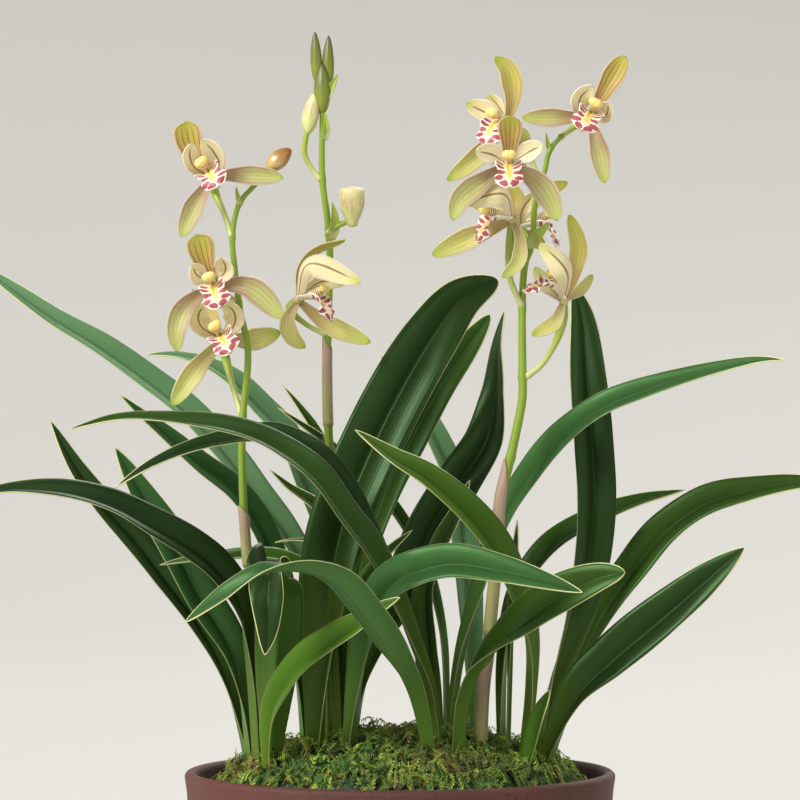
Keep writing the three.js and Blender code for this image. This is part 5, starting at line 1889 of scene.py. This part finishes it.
def lathe(bm: Draft, outline: Sequence[tuple[float, float]], steps: int) -> None:
    """Turns an outline round the pot's axis.

    Args:
        bm: The mesh in the making.
        outline: Its corners' radius and height, in millimetres.
        steps: How many steps a full turn has.
    """
    corners = [bm.verts.new((radius * MM, 0.0, height * MM)) for radius, height in outline]
    edges = [bm.edges.new(pair) for pair in zip(corners, corners[1:])]
    bmesh.ops.spin(bm, geom=corners + edges, cent=(0, 0, 0), axis=(0, 0, 1), angle=math.tau,
                   steps=steps, use_merge=True)
    bmesh.ops.remove_doubles(bm, verts=bm.verts, dist=1e-6)
    bmesh.ops.recalc_face_normals(bm, faces=bm.faces)
    for face in bm.faces:
        face.smooth = True


@dataclass
class Pot:
    """The tapered clay pot with its thin rounded lip and drain holes."""

    steps: int = 144
    lip_radius: float = 2.6
    drain_radius: float = 5.0
    drain_circle: float = 32.0
    drain_count: int = 3

    def outline(self) -> list[tuple[float, float]]:
        """Draws the wall's section, from the middle of the foot up, over the lip and down inside.

        Returns:
            Its corners' radius and height, in millimetres.
        """
        rim, top, foot = POT_RIM_RADIUS, POT_HEIGHT, POT_FOOT_RADIUS
        inside = rim - POT_WALL
        foot_bead = [(foot - 2 + 2 * math.sin(t), 2 - 2 * math.cos(t)) for t in
                     (math.pi / 2 * i / 5 for i in range(6))]
        body = [(lerp(foot, rim - 6, smooth(i / 10, -0.4, 1.15)), lerp(4, top * 0.55, i / 10))
                for i in range(1, 11)]
        shoulder = [(rim - 6 + 4.5 * math.sin(math.pi / 2 * i / 6), lerp(top * 0.55, top - 22, i / 6))
                    for i in range(1, 7)]
        neck = [(rim - 1.2, top - 14), (rim - 0.8, top - 8)]
        half = self.lip_radius
        lip = [(inside + half - half * math.cos(t), top - half + half * math.sin(t)) for t in
               (math.pi * (1 - i / 14) for i in range(15))]
        lip = [(min(rim, r), z) for r, z in lip]
        within = [(inside - 0.4, top - 10), (inside - 1.5, top - 24), (inside - 6, top * 0.55),
                  (foot - POT_WALL, POT_FLOOR + 4), (foot - POT_WALL - 4, POT_FLOOR), (0.0, POT_FLOOR)]
        return [(0.0, 0.0), *foot_bead, *body, *shoulder, *neck, *lip, *within]

    def drill(self) -> bpy.types.Object:
        """Makes the rods that cut the drain holes.

        Returns:
            The rods, as one object.
        """
        bm = bmesh.new()
        for i in range(self.drain_count):
            angle = math.tau * (i + 0.5) / self.drain_count
            place = Vector((math.cos(angle), math.sin(angle), 0)) * self.drain_circle * MM
            bmesh.ops.create_cone(bm, cap_ends=True, segments=32, radius1=self.drain_radius * MM,
                                  radius2=self.drain_radius * MM, depth=POT_FLOOR * 3 * MM,
                                  matrix=Matrix.Translation(place))
        return linked("drill", to_mesh("drill", bm))

    def build(self) -> None:
        """Turns the pot, dresses it and drills its drain holes."""
        bm = bmesh.new()
        lathe(bm, self.outline(), self.steps)
        pot = piece("clay_pot", bm, [ClayFinish().make()], "clay", "pot")
        drill = self.drill()
        cut = pot.modifiers.new("drain_holes", "BOOLEAN")
        cut.object = drill
        cut.solver = "EXACT"
        bpy.context.view_layer.update()
        evaluated = pot.evaluated_get(bpy.context.evaluated_depsgraph_get())
        drilled = bpy.data.meshes.new_from_object(evaluated)
        pot.modifiers.clear()
        pot.data = drilled
        bpy.data.objects.remove(drill)


@dataclass
class PottingMix:
    """The bark mix, with chips and grit showing in the ring between the moss and the pot."""

    chips: int = 150
    grit: int = 220
    ring: tuple[float, float] = (73.5, 79.6)
    jitter: float = 0.12

    def scatter(self, name: str, finish: EarthFinish, count: int, low: float, high: float,
                flat: float, seed: int) -> None:
        """Lays small broken lumps round the ring.

        Args:
            name: The piece's name.
            finish: What the lumps are made of.
            count: How many there are.
            low: The smallest size, in millimetres.
            high: The greatest size.
            flat: A lump's height as a share of its size.
            seed: Settles the random draws.
        """
        chance = random.Random(seed)
        bm = bmesh.new()
        for _ in range(count):
            angle = chance.uniform(0, math.tau)
            size = chance.uniform(low, high)
            radius = min(chance.uniform(*self.ring), self.ring[1] - size * 0.5)
            up = MIX_TOP + size * flat * 0.4 + chance.uniform(0, 2.5)
            spot = Matrix.Translation(around(radius, angle, up) * MM)
            spin = Matrix.Rotation(chance.uniform(0, ANY_TURN), 4, "Z")
            turn = spin @ Matrix.Rotation(chance.uniform(-0.5, 0.5), 4, "X")
            shape = Matrix.Diagonal((1.3, 0.8, flat, 1.0))
            lump = bmesh.ops.create_icosphere(bm, subdivisions=1, radius=size / 2 * MM,
                                              matrix=spot @ turn @ shape)
            for corner in lump["verts"]:
                shift = [chance.uniform(-self.jitter, self.jitter) * size for _ in range(3)]
                corner.co += Vector(shift) * MM
        piece(name, bm, [finish.make()], "bark_mix")

    def build(self) -> None:
        """Dresses the CAD mix and adds the loose pieces."""
        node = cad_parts["potting_mix"]
        node.data.materials.clear()
        node.data.materials.append(EarthFinish("bark_mix", "#2a1d14", "#5a4330").make())
        bark = EarthFinish("bark_chip", "#3a2718", "#7a5a3c")
        self.scatter("bark_chips", bark, self.chips, 2.2, 4.2, 0.5, 11)
        self.scatter("grit", EarthFinish("grit", "#9a948a", "#d8d2c6"), self.grit, 1.0, 2.0, 0.9, 12)


@dataclass
class Rhizome:
    """The pseudobulbs of the four shoots, by place and radius, and the runner that joins them."""

    shoots: tuple[tuple[Row, ...], ...] = (
        ((-54, -31, 9), (-57, -8, 12)),
        ((-28, 32, 13), (-29, 8, 14), (-26, -18, 13)),
        ((15, -32, 12), (20, -10, 13), (22, 18, 15)),
        ((51, 0, 13), (51, -24, 12)),
    )
    crown: float = FOOT - SEAT_GAP
    depth: float = 20.0
    level: float = 107.0
    runner_radius: float = 4.0

    def bulb(self, bm: Draft, x: float, y: float, radius: float) -> None:
        """Adds a pseudobulb as a squat ribbed body.

        Args:
            bm: The mesh in the making.
            x: Its place across, in millimetres.
            y: Its place from front to back.
            radius: Its radius.
        """

        def corner(u: float, v: float) -> Vector:
            """Returns the place of one of the bulb's corners."""
            swell = math.sin(math.pi * min(1.0, max(0.0, v))) ** 0.45 * radius * 0.86
            angle = math.tau * u
            ribs = 1 + 0.03 * math.cos(9 * angle)
            up = lerp(self.crown - self.depth, self.crown, v)
            return Vector((x + swell * ribs * math.cos(angle), y + swell * ribs * math.sin(angle), up)) * MM

        shaped_grid(bm, 36, 16, corner, closed=True)

    def runner(self, bm: Draft, start: Row, end: Row) -> None:
        """Adds the runner from one bulb's middle to the next one's."""
        tube = Tube([Vector((x, y, self.level)) * MM for x, y, _ in (start, end)], 8)
        shaped_grid(bm, 12, 8, lambda u, v: tube.point(u, v, self.runner_radius * MM), closed=True)

    def build(self) -> None:
        """Builds the bulbs on their runner."""
        bm = bmesh.new()
        bulbs = [bulb for shoot in self.shoots for bulb in shoot]
        for x, y, radius in bulbs:
            self.bulb(bm, x, y, radius)
        for start, end in zip(bulbs, bulbs[1:]):
            self.runner(bm, start, end)
        bmesh.ops.recalc_face_normals(bm, faces=bm.faces)
        piece("bulbs", bm, [StemFinish("bulb", "#8a7a4c", "#9aa35c", "#6d5a36", tint=0.6).make()], "bulb",
              "rhizome")


@dataclass
class Moss:
    """The moss mound: a cushion that fills the shoots' holes, with feathery fronds all over it."""

    edge_top: float = 127.0
    crown: float = 145.0
    tuft: float = 2.8
    sink: float = 2.6
    shore: float = 5.0
    patch_radius: float = 8.6
    patch_fronds: int = 27
    patch_kinds: int = 6
    patch_gap: float = 11.6
    reach: float = MOSS_RADIUS
    joints: int = 9
    midrib_thick: float = 0.26
    leaflet_thick: float = 0.33
    # The cushion's rise and hue; its low rise paints it near black, as shade under the fronds
    cushion: tuple[float, float] = (0.13, 0.1)
    patch_seed: int = 40
    lay_seed: int = 21

    def height(self, x: float, y: float) -> float:
        """Finds the mound's height at a place over the pot.

        Args:
            x: The place across, in millimetres.
            y: The place from front to back.

        Returns:
            The height, in millimetres.
        """
        r = min(1.0, math.hypot(x, y) / MOSS_RADIUS)
        up = self.edge_top + (self.crown - self.edge_top) * (1 - r ** 2.4)
        lift = smooth(up, self.edge_top, self.edge_top + 6)
        tuft = math.sin(x * 0.31 + 1.3 * math.sin(y * 0.17)) * math.cos(y * 0.29 + math.sin(x * 0.13))
        tuft += 0.45 * math.sin(x * 0.83 + 2 * math.sin(y * 0.4)) * math.sin(y * 0.77 + 0.6)
        return up + self.tuft * tuft * lift - self.shore * smooth(r, 0.87, 1.0)

    def mound(self, material: Material) -> None:
        """Builds the cushion under the fronds.

        Args:
            material: The moss's material.
        """
        low = MIX_TOP + SEAT_GAP

        def corner(u: float, v: float) -> Vector:
            """Returns the place of a corner, out from the middle below and back over the top."""
            angle = math.tau * u
            if v < 0.03:
                radius, up = 0.0, low
            elif v < 0.06:
                radius, up = MOSS_RADIUS - 3, low
            else:
                share = (v - 0.06) / 0.94
                radius = MOSS_RADIUS * (1 - share)
                x, y = radius * math.cos(angle), radius * math.sin(angle)
                up = max(low + 0.5, self.height(x, y) - self.sink)
            return around(radius, angle, up) * MM

        bm = bmesh.new()
        shaped_grid(bm, 144, 64, corner, closed=True)
        bmesh.ops.recalc_face_normals(bm, faces=bm.faces)
        rise, hue = (bm.verts.layers.float.new(name) for name in ("rise", "hue"))
        for spot in bm.verts:
            spot[rise], spot[hue] = self.cushion
        piece("moss_mound", bm, [material], "moss", "moss")

    @staticmethod
    def spike(bm: Draft, start: Vector, direction: Vector, length: float, thick: float,
              values: tuple[float, float]) -> None:
        """Adds one three-sided spike.

        Args:
            bm: The mesh in the making.
            start: Its foot, in millimetres.
            direction: The way that it points.
            length: Its length.
            thick: Its foot's radius.
            values: Its rise and its hue.
        """
        turn = direction.to_track_quat("Z", "Y").to_matrix().to_4x4()
        middle = Matrix.Translation((0, 0, length / 2))
        place = Matrix.Scale(MM, 4) @ Matrix.Translation(start) @ turn @ middle
        made = bmesh.ops.create_cone(bm, cap_ends=True, segments=3, radius1=thick, radius2=0, depth=length,
                                     matrix=place)
        rise, hue = bm.verts.layers.float["rise"], bm.verts.layers.float["hue"]
        for corner in made["verts"]:
            corner[rise], corner[hue] = values

    def frond(self, bm: Draft, foot: Vector, chance: random.Random) -> None:
        """Adds one arching frond: a midrib with paired leaflets that shorten towards its tip.

        Args:
            bm: The mesh in the making.
            foot: Its foot, in millimetres.
            chance: Gives its form.
        """
        azimuth, hue = chance.uniform(0, math.tau), chance.random()
        lean, droop = chance.uniform(0.55, 1.4), chance.uniform(0.9, 2.1)
        length, leaflet = chance.uniform(5.2, 9.6), chance.uniform(1.5, 2.5)
        out = Vector((math.cos(azimuth), math.sin(azimuth), 0))
        side = Vector((-out.y, out.x, 0))
        point, step = foot.copy(), length / self.joints
        for k in range(self.joints):
            share = k / self.joints
            slope = lean - droop * share
            along = out * math.cos(slope) + upward(math.sin(slope))
            # The rise grows up the frond, and the finish paints its low end near black as shade
            rise = min(1.0, 0.12 + 0.1 * point.z + 0.45 * share)
            if k % 3 == 0:
                thick = self.midrib_thick * (1.2 - share)
                self.spike(bm, point, along, step * 3.6, thick, (rise, hue))
            if k > 0:
                for sign in (-1, 1):
                    lay = side * sign + along * chance.uniform(0.35, 0.8)
                    lay = (lay + upward(chance.uniform(-0.1, 0.5))).normalized()
                    size = leaflet * (1.15 - share) * chance.uniform(0.75, 1.2)
                    self.spike(bm, point, lay, size, self.leaflet_thick, (min(1.0, rise + 0.12), hue))
            point = point + along * step

    def patch(self, seed: int) -> bpy.types.Mesh:
        """Makes a round level patch of fronds, to be laid on the mound.

        Args:
            seed: Settles the random draws.

        Returns:
            The patch's mesh.
        """
        chance = random.Random(seed)
        bm = bmesh.new()
        for name in ("rise", "hue"):
            bm.verts.layers.float.new(name)
        for _ in range(self.patch_fronds):
            radius = self.patch_radius * math.sqrt(chance.random())
            angle = chance.uniform(0, math.tau)
            self.frond(bm, around(radius, angle, chance.uniform(-1.2, 0.6)), chance)
        return to_mesh("patch", bm)

    def fronds(self, material: Material) -> None:
        """Covers the mound with turned patches, each corner carried on the mound's own height.

        Args:
            material: The moss's material.
        """
        chance = random.Random(self.lay_seed)
        patches = [self.patch(self.patch_seed + i) for i in range(self.patch_kinds)]
        quarters = {(back, right): bmesh.new() for back in (False, True) for right in (False, True)}
        reach = int(MOSS_RADIUS / self.patch_gap) + 1
        for row in range(-reach, reach + 1):
            for column in range(-reach, reach + 1):
                x = (column + 0.5 * (row % 2)) * self.patch_gap + chance.uniform(-2.5, 2.5)
                y = row * self.patch_gap * 0.87 + chance.uniform(-2.5, 2.5)
                mound = chance.uniform(-0.8, 1.4)
                turn = Matrix.Rotation(chance.uniform(0, ANY_TURN), 4, "Z")
                if math.hypot(x, y) > self.reach - 2:
                    continue
                bm = quarters[(y > 0, x > 0)]
                start = len(bm.verts)
                bm.from_mesh(chance.choice(patches))
                bm.verts.ensure_lookup_table()
                for corner in bm.verts[start:]:
                    spot = turn @ corner.co
                    across, deep = x + spot.x / MM, y + spot.y / MM
                    far = math.hypot(across, deep)
                    if far > self.reach:
                        pull = (self.reach + 0.35 * (far - self.reach)) / far
                        across, deep = across * pull, deep * pull
                    lift = (self.height(across, deep) - self.sink + mound) * MM
                    corner.co = Vector((across * MM, deep * MM, lift + spot.z))
        for (back, right), bm in quarters.items():
            name = f"moss_fronds_{'back' if back else 'front'}_{'right' if right else 'left'}"
            piece(name, bm, [material], "moss")
        for mesh in patches:
            bpy.data.meshes.remove(mesh)

    def build(self) -> None:
        """Builds the mound and its fronds."""
        material = MossFinish().make()
        self.mound(material)
        self.fronds(material)


@dataclass(frozen=True)
class Lamp:
    """A square soft light: its place and size in metres, its power in watts and its tint."""

    name: str
    place: Row
    size: float
    power: float
    tint: Row


LAMPS = (
    Lamp("key_light", (-3.2, -2.5, 3.0), 2.2, 268.0, (1.0, 0.98, 0.95)),
    Lamp("fill_light", (2.7, -3.1, 3.0), 2.6, 46.0, (0.97, 0.98, 1.0)),
    Lamp("back_light", (1.4, 3.0, 3.15), 2.4, 96.0, (1.0, 1.0, 1.0)),
)


@dataclass
class Studio:
    """A plain pale sweep, three soft lights and the camera at the photograph's viewing angle.

    Its own sizes are metres, and the camera's lens and sensor millimetres.
    """

    floor_radius: float = 3.0
    wall_height: float = 5.0
    bend: float = 3.0
    bend_steps: int = 36
    turn_steps: int = 96
    glow: float = 0.36
    backdrop: str = "#d3d1cc"
    floor: str = "#aeaca6"
    lit: Row = (0.0, 0.0, 0.25)
    sky: Row = (0.93, 0.95, 1.0, 1.0)
    sky_strength: float = 0.3
    lens: float = 180.0
    sensor: float = 36.0
    far: float = 50.0

    def sweep(self) -> None:
        """Builds the round floor that bends up into a wall."""
        turns = (math.pi / 2 * i / self.bend_steps for i in range(self.bend_steps + 1))
        bend = [(self.floor_radius + self.bend * math.sin(t), self.bend * (1 - math.cos(t))) for t in turns]
        outline = [(0.0, 0.0), *bend, (self.floor_radius + self.bend, self.wall_height)]
        bm = bmesh.new()
        lathe(bm, [(radius / MM, height / MM) for radius, height in outline], self.turn_steps)
        bmesh.ops.reverse_faces(bm, faces=bm.faces)
        sweep = linked("sweep", to_mesh("sweep", bm))
        graph = Graph("backdrop", 0.9)
        graph.even("Emission Color", colour(self.backdrop))
        graph.even("Emission Strength", self.glow)
        sweep.data.materials.append(graph.finish(self.floor))

    def light(self, lamp: Lamp) -> None:
        """Adds a lamp that faces the plant and doesn't show itself.

        Args:
            lamp: The lamp.
        """
        data = bpy.data.lights.new(lamp.name, "AREA")
        data.size = lamp.size
        data.energy = lamp.power
        data.color = lamp.tint
        made = linked(lamp.name, data)
        made.location = lamp.place
        made.rotation_euler = (Vector(self.lit) - Vector(lamp.place)).to_track_quat("-Z", "Y").to_euler()
        made.visible_camera = False

    def world(self) -> None:
        """Sets the even light from all round."""
        world = bpy.data.worlds.new("studio")
        world.use_nodes = True
        world.node_tree.nodes["Background"].inputs["Color"].default_value = self.sky
        world.node_tree.nodes["Background"].inputs["Strength"].default_value = self.sky_strength
        bpy.context.scene.world = world

    def camera(self) -> None:
        """Stands the camera level in front of the plant, where the routes are seen from."""
        data = bpy.data.cameras.new("camera")
        data.lens = self.lens
        data.sensor_width = self.sensor
        data.clip_end = self.far
        camera = linked("camera", data)
        camera.location = Vector((0, -SIGHT.distance, SIGHT.height)) * MM
        camera.rotation_euler = (math.pi / 2, 0, 0)
        bpy.context.scene.camera = camera

    def build(self) -> None:
        """Sets the stage, the lights and the camera."""
        self.sweep()
        for lamp in LAMPS:
            self.light(lamp)
        self.world()
        self.camera()
        bpy.context.scene.view_settings.view_transform = "Standard"


def main() -> None:
    """Builds the plant from the pot up."""
    logging.basicConfig(level=logging.INFO, format="%(name)s %(message)s")
    Studio().build()
    Pot().build()
    PottingMix().build()
    Rhizome().build()
    Moss().build()
    Leaves().build()
    FlowerStems().build()
    Perianths().build()
    Lips().build()


if __name__ == "__main__":
    main()
